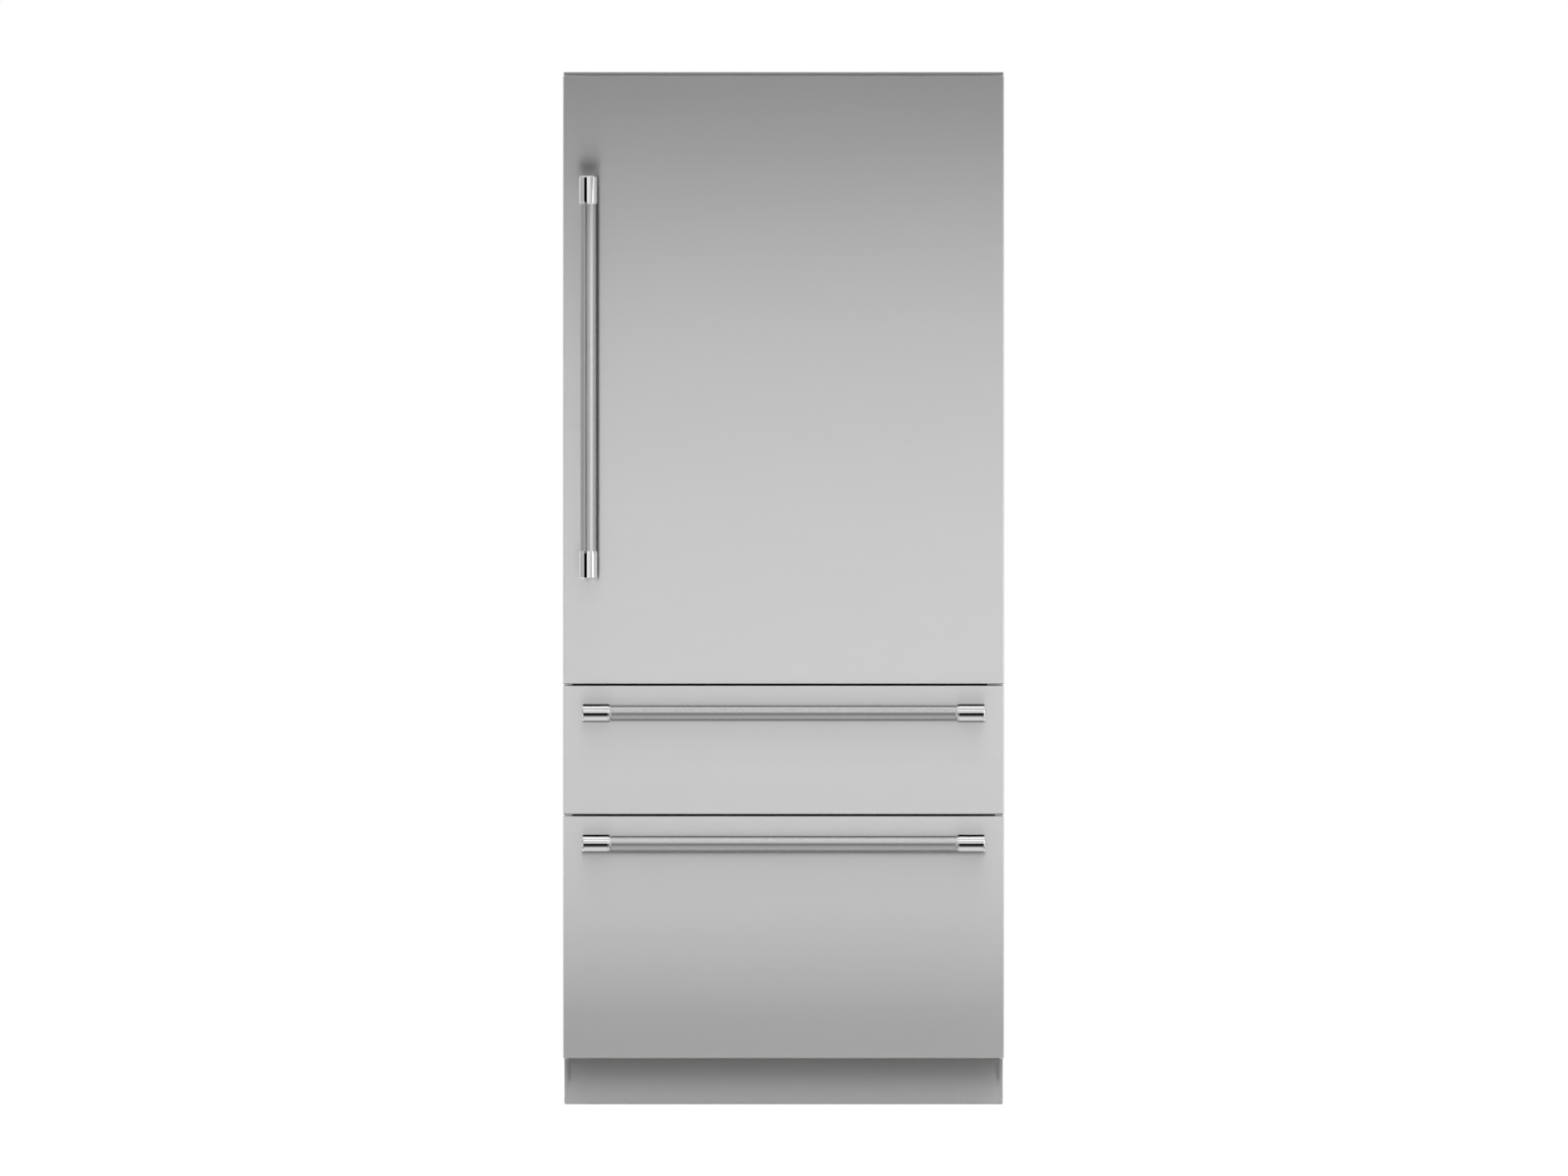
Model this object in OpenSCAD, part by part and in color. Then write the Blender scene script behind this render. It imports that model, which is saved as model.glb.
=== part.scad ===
// Built-in refrigerator with one right-hinged door above two freezer drawers.
// Millimetres. +Z is up, the fronts face -Y, and the origin is the centre of the footprint on the floor,
// counting the handles.

/* [Overall size] */
// Width of the door and the drawer fronts
front_w = 908; // [880:1:940]
// Height from the floor to the top of the cabinet
total_h = 2127; // [2090:1:2160]
// Depth from the faces of the fronts to the back of the cabinet
total_d = 610; // [600:1:640]
// Overhang of the fronts beyond each side of the cabinet
case_inset = 1.5; // [1:0.5:4]

/* [Fronts] */
// Height of the toe space below the lower drawer front
toe_h = 96; // [90:1:110]
// Height of the lower drawer front
lower_front_h = 499; // [480:1:520]
// Height of the upper drawer front
upper_front_h = 264.5; // [250:0.5:280]
// Gap between one front and the next
front_gap = 4; // [3:0.5:6]
// Gap between the top of the door and the top trim
top_gap = 1.5; // [1:0.5:3]
// Height of the top trim strip
trim_h = 6; // [4:0.5:10]
// Depth of the folded steel pan that faces each front
pan_d = 19; // [16:1:24]
// Thickness of the steel sheet of the pans
pan_sheet = 1; // [0.8:0.1:1.5]
// Radius of the folds at the edges of the pans
pan_r = 2; // [1.5:0.1:3]
// Thickness of the insulated body behind each pan
body_t = 60; // [50:1:66]
// Skin of the insulated bodies
body_skin = 3; // [2:0.5:4]
// Step from the pan's side edges to the insulated body
body_side_step = 9; // [7:0.5:12]
// Step from the pan's top and bottom edges to the insulated body
body_end_step = 10; // [9:0.5:11]
// Space between the insulated bodies and the cabinet, which the gaskets fill
seal_gap = 8; // [7:0.5:10]

/* [Handles] */
// Diameter of the handle bars
bar_d = 32; // [26:1:34]
// Wall of the handle bar tube
bar_wall = 2; // [1.5:0.5:3]
// Diameter of the polished end caps
cap_d = 38; // [36:1:44]
// Length of each end cap
cap_l = 58; // [50:1:70]
// Overall length of each handle
handle_l = 830; // [700:5:850]
// Distance from the fronts to the axis of the handle bars
handle_out = 48; // [44:1:60]
// Diameter of the posts that carry the handles
post_d = 20; // [16:1:24]
// Diameter of the foot of each post
post_foot_d = 32; // [28:1:36]
// Distance from the door's free edge to its handle's axis
door_handle_in = 51.5; // [45:0.5:70]
// Height of the middle of the door handle above the middle of the door
door_handle_up = 4.5; // [0:0.5:20]
// Distance from the top of a drawer front to its handle's axis
drawer_handle_down = 56.5; // [45:0.5:70]

/* [Cabinet] */
// Steel sheet of the outer case
sheet = 1.2; // [1:0.1:2]
// Steel of the front frame
frame_t = 3; // [2:0.5:4]
// Wall from the outside of the case to the inside of the liner, at the sides
side_wall = 50; // [46:1:56]
// The same wall at the top
top_wall = 60; // [54:1:70]
// The same wall at the back
back_wall = 60; // [50:1:66]
// Divider between the refrigerator and the freezer
mid_wall = 70; // [66:1:72]
// The same wall at the floor of the freezer
floor_wall = 55; // [48:1:60]
// Plastic liner
liner_t = 2.5; // [2:0.5:4]
// Radius of the liner's long corners
liner_r = 12; // [8:1:20]
// Height of the bar between the two drawers
bar_h = 70; // [66:1:72]
// Depth of that bar
bar_depth = 40; // [30:1:50]
// Top of the machine compartment above the floor
machine_top = 262; // [250:1:270]
// Depth of the machine compartment
machine_d = 190; // [180:1:200]
// Insulated wall between the machine compartment and the freezer
hump_wall = 35; // [30:1:40]

/* [Base] */
// Distance from the fronts back to the toe kick
toe_recess = 100; // [95:1:120]
// Clearance between the floor and the toe kick
toe_clear = 2; // [1:0.5:6]
// Width of the folded edges of the case beside the toe kick
toe_edge = 6; // [4:0.5:10]
// Gap between those edges and the toe kick behind them
toe_back = 1.8; // [0.6:0.1:4]
// Clearance round the toe kick panel
toe_fit = 1; // [0.5:0.5:2]
// Height of the machine base plate above the floor
base_z = 50; // [46:1:54]
// Steel of the base
base_t = 2; // [1.5:0.5:3]
// Diameter of the rear rollers
roller_d = 44; // [36:1:48]
// Width of the rear rollers
roller_w = 22; // [16:1:28]
// Diameter of the roller pins
roller_pin_d = 10; // [8:1:12]
// Distance of the rollers and the legs in from the sides of the case
foot_in = 60; // [50:1:80]
// Distance of the roller pins from the back
roller_from_back = 60; // [50:1:80]
// Diameter of the levelling legs' stems
leg_d = 12; // [10:1:16]
// Diameter of the legs' foot pads
leg_pad_d = 44; // [36:1:52]
// Thickness of the foot pads
leg_pad_h = 10; // [8:1:12]
// Height of the hexagon on each leg
leg_hex_h = 9; // [8:1:10]
// Distance of the legs behind the toe kick
leg_behind = 36; // [32:1:50]

/* [Door hinge] */
// Distance of the hinge axis in from the door's edge
pivot_in = 20; // [18:1:20]
// Distance of the hinge axis behind the door's face
pivot_back = 50; // [48:1:52]
// Diameter of the hinge pins
hinge_pin_d = 8; // [6:1:9]
// Length of the hinge pins below or above their arms
hinge_pin_l = 22; // [16:1:26]
// Thickness of the hinge arms
hinge_arm_t = 5; // [4:0.5:6]
// Width of the hinge arms
hinge_arm_w = 28; // [24:1:28]
// Thickness of the hinge's wall plate
hinge_plate_t = 4; // [3:0.5:4]
// Clearance between a hinge arm and the door body
hinge_gap = 2; // [1.5:0.5:2.5]

/* [Drawer runners] */
// Space between the runners and the freezer's back panel
rail_back_gap = 7; // [5:1:20]
// Height of a runner's section
rail_h = 45; // [42:1:50]
// Thickness of the whole runner
rail_w = 13; // [12.5:0.5:14]
// Steel of the runners
rail_s = 1.5; // [1.2:0.1:1.6]
// Thickness of the ball cages
cage_t = 3; // [2.5:0.1:3.4]

/* [Bins] */
// Wall of the drawer bins and the tray
bin_wall = 3; // [2.5:0.5:4]
// Radius of the bins' upright corners
bin_r = 18; // [12:1:24]
// Space above the upper drawer's bin
upper_bin_space = 30.5; // [20:0.5:50]
// Space above the lower drawer's bin, under the bar
lower_bin_space = 14; // [12:1:30]
// Height of the step in the lower bin above the hump of the freezer's floor
step_space = 33; // [30:1:45]
// Depth of the sliding tray, front to back
tray_depth = 230; // [180:5:250]
// Height of the sliding tray
tray_h = 88; // [60:1:110]
// Wall of the crisper drawers
crisper_wall = 2.5; // [2:0.5:3.5]
// Height of the crisper drawers
crisper_h = 190; // [160:5:210]
// Wall of the door bins
door_bin_wall = 3; // [2:0.5:4]
// Height of the ridge round the inside of the door
ridge_h = 26; // [20:1:32]
// Width of that ridge
ridge_w = 24; // [18:1:30]

/* [Shelves] */
// Thickness of the shelf glass
glass_t = 5; // [4:0.5:6]
// Distance from the cabinet's front plane to the shelves' front edge
shelf_front = 116; // [112:1:140]
// Distance of the slotted tracks from the side walls inside
track_side = 72.5; // [60:2.5:200]
// Width of a track
track_w = 20; // [16:1:24]
// Depth of a track
track_d = 12; // [10:1:14]
// Pitch of the slots in the tracks
slot_pitch = 25; // [25:1:32]
// Height of each slot
slot_h = 14; // [12:1:16]
// Steel of the tracks and the shelf brackets
bracket_t = 2.5; // [2:0.5:3]

/* [Air and cooling] */
// Width of the air tower on the refrigerator's back wall
tower_w = 150; // [120:5:200]
// Depth of the air tower
tower_d = 22; // [18:1:23]
// Depth of the space for the evaporator behind the freezer's back panel
evap_space = 48; // [46:1:50]
// Diameter of the evaporator fan
evap_fan_d = 100; // [80:5:110]
// Diameter of the condenser fan
cond_fan_d = 150; // [120:5:160]
// Diameter of the compressor's shell
comp_d = 140; // [120:5:150]
// Diameter of the refrigerant tubes in the coils
tube_d = 8; // [6:1:9]

/* [Hidden] */
$fn = 96;

// Clearances
seat_gap = 0.3;      // between a moving piece and what carries it
pin_gap = 0.05;      // radial, round a pin that turns
loose = 0.25;        // radial, round screws and stems

// Depths, from the handles at the front to the back sheet
reach = handle_out + cap_d / 2;
y_front = reach - (reach + total_d) / 2;
y_body = y_front + pan_d;
y_seal = y_body + body_t;
y_case = y_seal + seal_gap;
y_back = y_front + total_d;
y_foam = y_case + frame_t;
y_skin = y_back - sheet;
y_in = y_back - back_wall;
y_toe = y_front + toe_recess;
y_machine = y_back - machine_d;
y_hump = y_machine - hump_wall;
y_evap = y_in - evap_space;

// Widths, from the middle
half_w = front_w / 2;
case_x = half_w - case_inset;
skin_x = case_x - sheet;
in_x = case_x - side_wall;
body_x = half_w - body_side_step;

// Heights, from the floor
lower_z0 = toe_h;
lower_z1 = lower_z0 + lower_front_h;
upper_z0 = lower_z1 + front_gap;
upper_z1 = upper_z0 + upper_front_h;
door_z0 = upper_z1 + front_gap;
door_z1 = total_h - trim_h - top_gap;
base_top = toe_h + front_gap;
bar_mid = lower_z1 + front_gap / 2;
bar_z0 = bar_mid - bar_h / 2;
bar_z1 = bar_mid + bar_h / 2;
mid_z = upper_z1 + front_gap / 2;
freezer_z0 = base_top + floor_wall;
freezer_z1 = mid_z - mid_wall / 2;
fridge_z0 = mid_z + mid_wall / 2;
fridge_z1 = total_h - top_wall;
hump_z = machine_top + hump_wall;
top_skin_z = total_h - sheet;

// Gaskets: a base strip, a bellows neck and a magnet chamber, layered from the door to the cabinet
gasket_in = 6.5;     // from the cabinet's opening to the inner edge of the gasket
gasket_w = 15;
gasket_base_t = 2;
gasket_neck_w = 6;
gasket_head_w = 11;
gasket_head_t = 3.7;
gasket_r = 16;

// Hinge
pivot_x = half_w - pivot_in;
pivot_y = y_front + pivot_back;
body_z0 = door_z0 + body_end_step;
body_z1 = door_z1 - body_end_step;
lower_arm_z = body_z0 - hinge_gap - hinge_arm_t;
upper_arm_z = body_z1 + hinge_gap;
bush_bore = hinge_pin_d + 2 * pin_gap;
bush_d = bush_bore + 6;
bush_l = hinge_pin_l + 1;
bush_flange_t = hinge_gap - seat_gap;
bush_flange_d = bush_d + 6;
plate_drop = 16;     // how far a hinge's wall plate reaches below its arm
screw_d = 5;
screw_head_d = 9;
screw_head_t = 2.2;
screw_l = 18;
screw_pitch = 16;

// Runners and carriages
rail_y = y_case + 8;
rail_l = y_evap - rail_back_gap - rail_y;
rail_cage_gap = cage_t + seat_gap;
mid_flange_z = rail_h / 2 - rail_s - rail_cage_gap;
inner_flange_z = mid_flange_z - rail_s - rail_cage_gap;
cage_l = rail_l * 0.4;
plate_t = 2;
ledge_w = 25;
bin_side_gap = 0.5;
bin_x = in_x - rail_w - plate_t - bin_side_gap;
bin_y0 = y_case + 4;
bin_y1 = rail_y + rail_l - 4;
upper_bin_z = bar_z1 + 8;
lower_bin_z = freezer_z0 + 8;
lower_step_z = hump_z + step_space;
upper_bin_h = freezer_z1 - upper_bin_space - upper_bin_z;
lower_bin_h = bar_z0 - lower_bin_space - lower_bin_z;
upper_rail_z = upper_bin_z + rail_h / 2 + 2;
lower_rail_z = lower_step_z + rail_h / 2 + 2;
rim_w = 6;
rim_t = 4;

// Door inside
ridge_x = in_x - 12;
ridge_z0 = fridge_z0 + 12;
ridge_z1 = fridge_z1 - 12;
ridge_in_x = ridge_x - ridge_w;
lug_d = 8;
lug_l = 5;
lug_up = 60;         // of a bin's lugs above its floor
lug_out = 14;        // of the lugs from the door body
door_bin_x = ridge_in_x - seat_gap;
door_bin_r = 20;
end_pad = 7;
dairy_depth = 86;
dairy_h = 92;
dairy_r = 12;
middle_bin_depth = 96;
middle_bin_h = 105;
lower_bin_depth = 52;
lower_door_bin_h = 96;
dairy_down = 240;    // from the ridge at the top of the door to the dairy bin's floor
lower_bin_up = 40;   // from the ridge at the bottom of the door to the lower bin's floor
dairy_z = ridge_z1 - ridge_w - dairy_down;
lower_door_bin_z = ridge_z0 + ridge_w + lower_bin_up;
middle_bin_z = (lower_door_bin_z + lower_door_bin_h + dairy_z - middle_bin_h) / 2;
lid_pin_d = 6;
lid_t = 3;
lid_clear = 1;
lid_flap = 26;
lid_pin_in = 17;     // from the door body to the lid's pins
lid_pin_down = 8;    // from the top of the dairy bin to the lid's pins

// Shelves and crispers
shelf_y0 = y_case + shelf_front;
shelf_y1 = y_in - tower_d - 4;
shelf_x = in_x - 14;
trim_t = 1.5;
trim_lip = 12;
trim_skirt = 6;
track_x = in_x - track_side;
track_top_gap = 60;  // from the ends of the tracks to the ceiling
track_end = 20;      // of a track past its first and last slots
crisper_z0 = fridge_z0 + 6;
crisper_z1 = crisper_z0 + crisper_h;
crisper_frame_z = crisper_z1 + 3;
crisper_frame_h = 18;
crisper_glass_z = crisper_frame_z + crisper_frame_h;
track_z0 = crisper_glass_z + glass_t + 30;
slot_count = floor((fridge_z1 - track_top_gap - track_end - track_z0) / slot_pitch);
shelf_step = floor((slot_count + 3) / 4);
shelf_slots = [for (i = [1:3]) i * shelf_step - 1];
crisper_rail_t = 3;
crisper_web_t = 1.7;
rib_w = 10;          // of the liner's ribs that carry the crisper frame
crisper_divider = 12;
crisper_lip_t = 4;
crisper_front_t = 10;
crisper_y0 = shelf_y0;
crisper_y1 = y_in - 10;

// Machine compartment
comp_side = 181.3;   // from the right side to the compressor's axis
comp_h = 165;
cond_side = 51.3;    // from the left side to the condenser
cond_l = 270;        // of the condenser with its return bends
cond_plate_h = 178;  // of the plate that carries the condenser fan
comp_x = skin_x - comp_side;
cond_x0 = cond_side - skin_x;
cond_x1 = cond_x0 + cond_l;
fan_plate_x = cond_x1 + 28;
gland_side = 60;     // from the right side to the cable gland
gland_up = 18;       // from the base plate to the cable gland
gland_d = 16;
gland_bore = 9;
louvre_l = 46;
louvre_h = 6;
louvre_pitch = 68;   // of the louvres along a row
louvre_rise = 16;    // from one row to the next
louvre_rows = 9;
louvre_in = 136;     // from the middle of the cover to the nearest louvre's middle
louvre_up = 36;      // from the base plate to the lowest row
louvre_cols = 1 + floor((skin_x - gland_side - gland_d - louvre_l / 2 - louvre_in) / louvre_pitch);
machine_mid_y = y_machine + machine_d / 2;
coil_z0 = base_z + base_t;
boss_d = 28;
boss_drop = base_z - leg_pad_h - leg_hex_h - seat_gap;
leg_x = case_x - foot_in;
leg_y = y_toe + leg_behind;
leg_stem_top = base_top - 6;
y_kick = y_toe + sheet + toe_back;
y_member = y_kick + sheet + 12;
roller_y = y_back - roller_from_back;
fork_t = 3;

// ---------- Helpers ----------

// Box between two opposite corners
module span(a, b) {
    translate(a) cube(b - a);
}

// The children, and their mirror image across the middle of the cabinet
module both_sides() {
    children();
    mirror([1, 0, 0]) children();
}

// Extrudes an outline drawn in X and Z from y0 to y1
module along_y(y0, y1) {
    translate([0, y1, 0]) rotate([90, 0, 0]) linear_extrude(y1 - y0) children();
}

// Extrudes an outline drawn in Y and Z from x0 to x1
module along_x(x0, x1) {
    translate([x0, 0, 0]) rotate([90, 0, 90]) linear_extrude(x1 - x0) children();
}

// Rectangle between two corners with rounded corners, made of true arcs
module rounded(a, b, r) {
    translate([a.x + r, a.y]) square([b.x - a.x - 2 * r, b.y - a.y]);
    translate([a.x, a.y + r]) square([b.x - a.x, b.y - a.y - 2 * r]);
    for (x = [a.x + r, b.x - r], y = [a.y + r, b.y - r]) translate([x, y]) circle(r);
}

// Cylinder along X
module rod_x(x0, x1, d) {
    translate([x0, 0, 0]) rotate([0, 90, 0]) cylinder(d = d, h = x1 - x0);
}

// Round bar with rounded ends, along Z from the origin
module soft_rod(d, l, r) {
    rotate_extrude() {
        square([d / 2 - r, l]);
        translate([0, r]) square([d / 2, l - 2 * r]);
        for (z = [r, l - r]) translate([d / 2 - r, z]) circle(r);
    }
}

// ---------- Cabinet ----------

anti_tip_dx = 600;   // hole pattern for the anti-tip bracket on top of the case
anti_tip_dy = 60;
anti_tip_r = 3;
anti_tip_y = y_back - 70;

module anti_tip_holes(r, depth) {
    for (x = [-1, 1], y = [-1, 1])
        translate([x * anti_tip_dx / 2, anti_tip_y + y * anti_tip_dy / 2, total_h - depth])
            cylinder(r = r, h = depth + 1);
}

// The children at both screws of a hinge whose arm is at arm_z
module hinge_screw_places(arm_z) {
    for (x = [-1, 1]) translate([pivot_x + x * screw_pitch / 2, 0, arm_z - plate_drop / 2]) children();
}

module hinge_screw_holes(y0, y1) {
    for (arm_z = [lower_arm_z, upper_arm_z])
        hinge_screw_places(arm_z) along_y(y0, y1) circle(d = screw_d + 2 * loose);
}

module outer_case() {
    color("silver") {
        both_sides() {
            along_x(skin_x, case_x) polygon([[y_foam, total_h], [y_foam, base_top], [y_toe, base_top],
                [y_toe, toe_clear], [y_back, toe_clear], [y_back, total_h]]);
            span([case_x - toe_edge, y_toe, toe_clear], [skin_x, y_toe + sheet, base_top - 2]);
        }
        difference() {
            span([-skin_x, y_foam, top_skin_z], [skin_x, y_back, total_h]);
            anti_tip_holes(anti_tip_r, 5);
        }
        span([-skin_x, y_skin, machine_top], [skin_x, y_back, top_skin_z]);
    }
}

module insulation() {
    wall_x = in_x + liner_t;
    back_y = y_in + liner_t;
    color("khaki") {
        both_sides() difference() {
            along_x(wall_x, skin_x) polygon([[y_foam, base_top], [y_machine, base_top],
                [y_machine, machine_top], [y_skin, machine_top], [y_skin, top_skin_z], [y_foam, top_skin_z]]);
            hinge_screw_holes(y_foam - 1, y_case + screw_l + 1);
        }
        difference() {
            span([-wall_x, y_foam, fridge_z1 + liner_t], [wall_x, y_skin, top_skin_z]);
            anti_tip_holes(anti_tip_r + 1, 22);
        }
        span([-wall_x, back_y, machine_top], [wall_x, y_skin, fridge_z1 + liner_t]);
        span([-wall_x, y_foam, freezer_z1 + liner_t], [wall_x, back_y, fridge_z0 - liner_t]);
        span([-wall_x, y_foam, base_top], [wall_x, y_hump + liner_t, freezer_z0 - liner_t]);
        along_x(-wall_x, wall_x) polygon([[y_hump + liner_t, base_top], [y_hump + liner_t, hump_z - liner_t],
            [back_y, hump_z - liner_t], [back_y, machine_top], [y_machine, machine_top], [y_machine, base_top]]);
    }
}

module fridge_liner() {
    rib_z = crisper_frame_z;
    color("white") {
        difference() {
            along_y(y_foam, y_in + liner_t)
                rounded([-in_x - liner_t, fridge_z0 - liner_t], [in_x + liner_t, fridge_z1 + liner_t],
                    liner_r + liner_t);
            along_y(y_foam - 1, y_in) rounded([-in_x, fridge_z0], [in_x, fridge_z1], liner_r);
        }
        both_sides()
            along_y(crisper_y0 + 10, y_in)
                polygon([[in_x + 1, rib_z], [in_x - rib_w, rib_z], [in_x - rib_w, rib_z - 2],
                    [in_x, rib_z - 2 - rib_w], [in_x + 1, rib_z - 2 - rib_w]]);
    }
}

module freezer_liner() {
    o = liner_t;
    color("white")
        difference() {
            along_x(-in_x - o, in_x + o) polygon([[y_foam, freezer_z0 - o], [y_hump + o, freezer_z0 - o],
                [y_hump + o, hump_z - o], [y_in + o, hump_z - o], [y_in + o, freezer_z1 + o],
                [y_foam, freezer_z1 + o]]);
            along_x(-in_x, in_x) polygon([[y_foam - 1, freezer_z0], [y_hump, freezer_z0], [y_hump, hump_z],
                [y_in, hump_z], [y_in, freezer_z1], [y_foam - 1, freezer_z1]]);
        }
}

module front_frame() {
    color("lightgray") {
        both_sides() difference() {
            span([in_x, y_case, base_top], [case_x, y_foam, total_h]);
            hinge_screw_holes(y_case - 1, y_foam + 1);
        }
        for (z = [[base_top, freezer_z0], [freezer_z1, fridge_z0], [fridge_z1, total_h]])
            span([-in_x, y_case, z[0]], [in_x, y_foam, z[1]]);
        // bar between the drawers, a closed box
        difference() {
            span([-in_x, y_case, bar_z0], [in_x, y_case + bar_depth, bar_z1]);
            span([frame_t - in_x, y_case + frame_t, bar_z0 + frame_t],
                [in_x - frame_t, y_case + bar_depth - frame_t, bar_z1 - frame_t]);
        }
    }
}

// Folded strip that closes the slot above the door
module top_trim() {
    leaf = 2;
    setback = 2;
    color("silver")
        along_x(-case_x, case_x) polygon([[y_front + setback, total_h - trim_h], [y_front + setback, total_h],
            [y_case, total_h], [y_case, total_h - trim_h], [y_case - leaf, total_h - trim_h],
            [y_case - leaf, total_h - leaf], [y_front + setback + leaf, total_h - leaf],
            [y_front + setback + leaf, total_h - trim_h]]);
}

// ---------- Base ----------

module roller_fork() {
    for (side = [-1, 1])
        translate([side * (roller_w / 2 + 1 + fork_t / 2) - fork_t / 2, 0, 0])
            along_x(0, fork_t) {
                translate([roller_y, roller_d / 2]) circle(d = roller_pin_d + 12);
                translate([roller_y - roller_pin_d / 2 - 6, roller_d / 2])
                    square([roller_pin_d + 12, base_z - roller_d / 2]);
            }
    translate([0, roller_y, roller_d / 2])
        rod_x(-roller_w / 2 - 1 - fork_t - 2, roller_w / 2 + 1 + fork_t + 2, roller_pin_d);
}

module leg_boss() {
    difference() {
        translate([leg_x, leg_y, base_z - boss_drop]) cylinder(d = boss_d, h = boss_drop + base_t);
        translate([leg_x, leg_y, 0]) cylinder(d = leg_d + 2 * pin_gap, h = base_top);
    }
}

module base_frame() {
    channel_w = 30;
    front_y0 = y_member;
    front_y1 = leg_y + boss_d / 2 + 6;
    color("dimgray") {
        // side channels, open inwards
        both_sides() difference() {
            span([skin_x - channel_w, front_y0, base_z], [skin_x, y_machine, base_top]);
            span([skin_x - channel_w - 1, front_y0 - 1, base_z + base_t],
                [skin_x - base_t, y_machine + 1, base_top - base_t]);
        }
        // front cross member with the bosses of the legs
        both_sides() leg_boss();
        difference() {
            span([channel_w - skin_x, front_y0, base_z], [skin_x - channel_w, front_y1, base_top]);
            span([channel_w - skin_x - 1, front_y0 + base_t, base_z + base_t],
                [skin_x - channel_w + 1, front_y1 + 1, base_top - base_t]);
            both_sides() translate([leg_x, leg_y, 0]) cylinder(d = leg_d + 2 * pin_gap, h = base_top - base_t);
        }
        // machine base plate with its folded front edge, and the roller forks under it
        span([-skin_x, y_machine - base_t, base_z], [skin_x, y_skin, base_z + base_t]);
        span([channel_w - skin_x, y_machine - base_t, base_z + base_t], [skin_x - channel_w, y_machine, base_top]);
        both_sides() translate([leg_x, 0, 0]) roller_fork();
    }
}

module roller(x) {
    color("black")
        translate([x, roller_y, roller_d / 2]) rotate([0, 90, 0]) translate([0, 0, -roller_w / 2])
            difference() {
                soft_rod(roller_d, roller_w, 2);
                translate([0, 0, -1]) cylinder(d = roller_pin_d + 2 * pin_gap, h = roller_w + 2);
                for (z = [-1, roller_w - 3]) translate([0, 0, z]) difference() {
                    cylinder(d = roller_d - 10, h = 4);
                    cylinder(d = roller_pin_d + 8, h = 4);
                }
            }
}

module leg(x) {
    color("gray") translate([x, leg_y, 0]) {
        rotate_extrude() {
            square([leg_pad_d / 2 - 3, leg_pad_h]);
            square([leg_pad_d / 2, leg_pad_h - 3]);
            translate([leg_pad_d / 2 - 3, leg_pad_h - 3]) circle(3);
        }
        translate([0, 0, leg_pad_h]) cylinder(d = 26, h = leg_hex_h, $fn = 6);
        cylinder(d = leg_d, h = leg_stem_top);
    }
}

module toe_kick() {
    fold = 10;
    clip_w = 30;
    y0 = y_kick;
    y1 = y0 + sheet;
    x1 = skin_x - toe_fit;
    color("silver") {
        span([-x1, y0, toe_clear], [x1, y1, leg_stem_top]);
        span([-x1, y0, leg_stem_top - sheet], [x1, y0 + fold, leg_stem_top]);
        // clips that push onto the front cross member
        both_sides() span([x1 - 4 * clip_w, y0, base_z + 8], [x1 - 3 * clip_w, y_member, leg_stem_top - 10]);
    }
}

// ---------- Machine compartment ----------

module gland_place() {
    translate([skin_x - gland_side, y_skin, base_z + base_t + gland_up]) rotate([-90, 0, 0]) children();
}

module machine_cover() {
    z0 = base_z + base_t;
    flange = 6;
    color("gray") {
        difference() {
            span([-skin_x, y_skin, z0], [skin_x, y_back, machine_top]);
            both_sides() for (i = [0:louvre_cols - 1], r = [0:louvre_rows - 1])
                translate([louvre_in + i * louvre_pitch, y_skin - 1, z0 + louvre_up + r * louvre_rise])
                    translate([-louvre_l / 2, 0, 0]) cube([louvre_l, sheet + 2, louvre_h]);
            gland_place() translate([0, 0, -1]) cylinder(d = gland_d, h = sheet + 2);
        }
        // gland where the mains lead comes out
        gland_place() difference() {
            union() {
                translate([0, 0, -flange]) cylinder(d = gland_d + flange, h = flange);
                translate([0, 0, -flange]) cylinder(d = gland_d - 2 * pin_gap, h = flange + sheet);
            }
            translate([0, 0, -flange / 2]) cylinder(d = gland_bore, h = flange + sheet);
        }
    }
}

module tube_bend(r, angle) {
    rotate_extrude(angle = angle) translate([r, 0]) circle(d = tube_d, $fn = 48);
}

module compressor() {
    r = comp_d / 2;
    foot = 12;
    z0 = coil_z0;
    dome = 30;
    weld = comp_h * 0.55;
    color("black") translate([comp_x, machine_mid_y, z0]) {
        // feet and mounting plate
        for (x = [-1, 1], y = [-1, 1]) translate([x * 78, y * 50, 0]) {
            cylinder(d = 24, h = foot);
            cylinder(d = 10, h = foot + 12);
        }
        translate([0, 0, foot]) linear_extrude(3) difference() {
            rounded([-94, -64], [94, 64], 14);
            for (x = [-1, 1], y = [-1, 1]) translate([x * 78, y * 50]) circle(d = 10);
        }
        // shell of two drawn cups with their weld flange
        translate([0, 0, foot + 3]) rotate_extrude() {
            translate([0, 0]) square([r - 14, comp_h]);
            translate([0, dome]) square([r, comp_h - 2 * dome]);
            translate([0, weld]) square([r + 5, 4]);
            intersection() {
                square([r, comp_h]);
                union() for (z = [dome, comp_h - dome]) translate([r - dome, z]) circle(dome);
            }
        }
        // terminal box and the stubs of the suction and discharge tubes
        translate([-r - 14, -26, foot + 48]) linear_extrude(58) rounded([0, 0], [24, 52], 5);
        for (y = [-1, 1]) translate([r - 6, y * 22, foot + 70 + y * 14]) {
            rod_x(0, 26, tube_d);
            translate([26, 0, tube_d]) rotate([90, 0, 0]) rotate([0, 0, -90]) tube_bend(tube_d, 90);
            translate([26 + tube_d, 0, tube_d]) cylinder(d = tube_d, h = 30);
        }
    }
}

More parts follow.
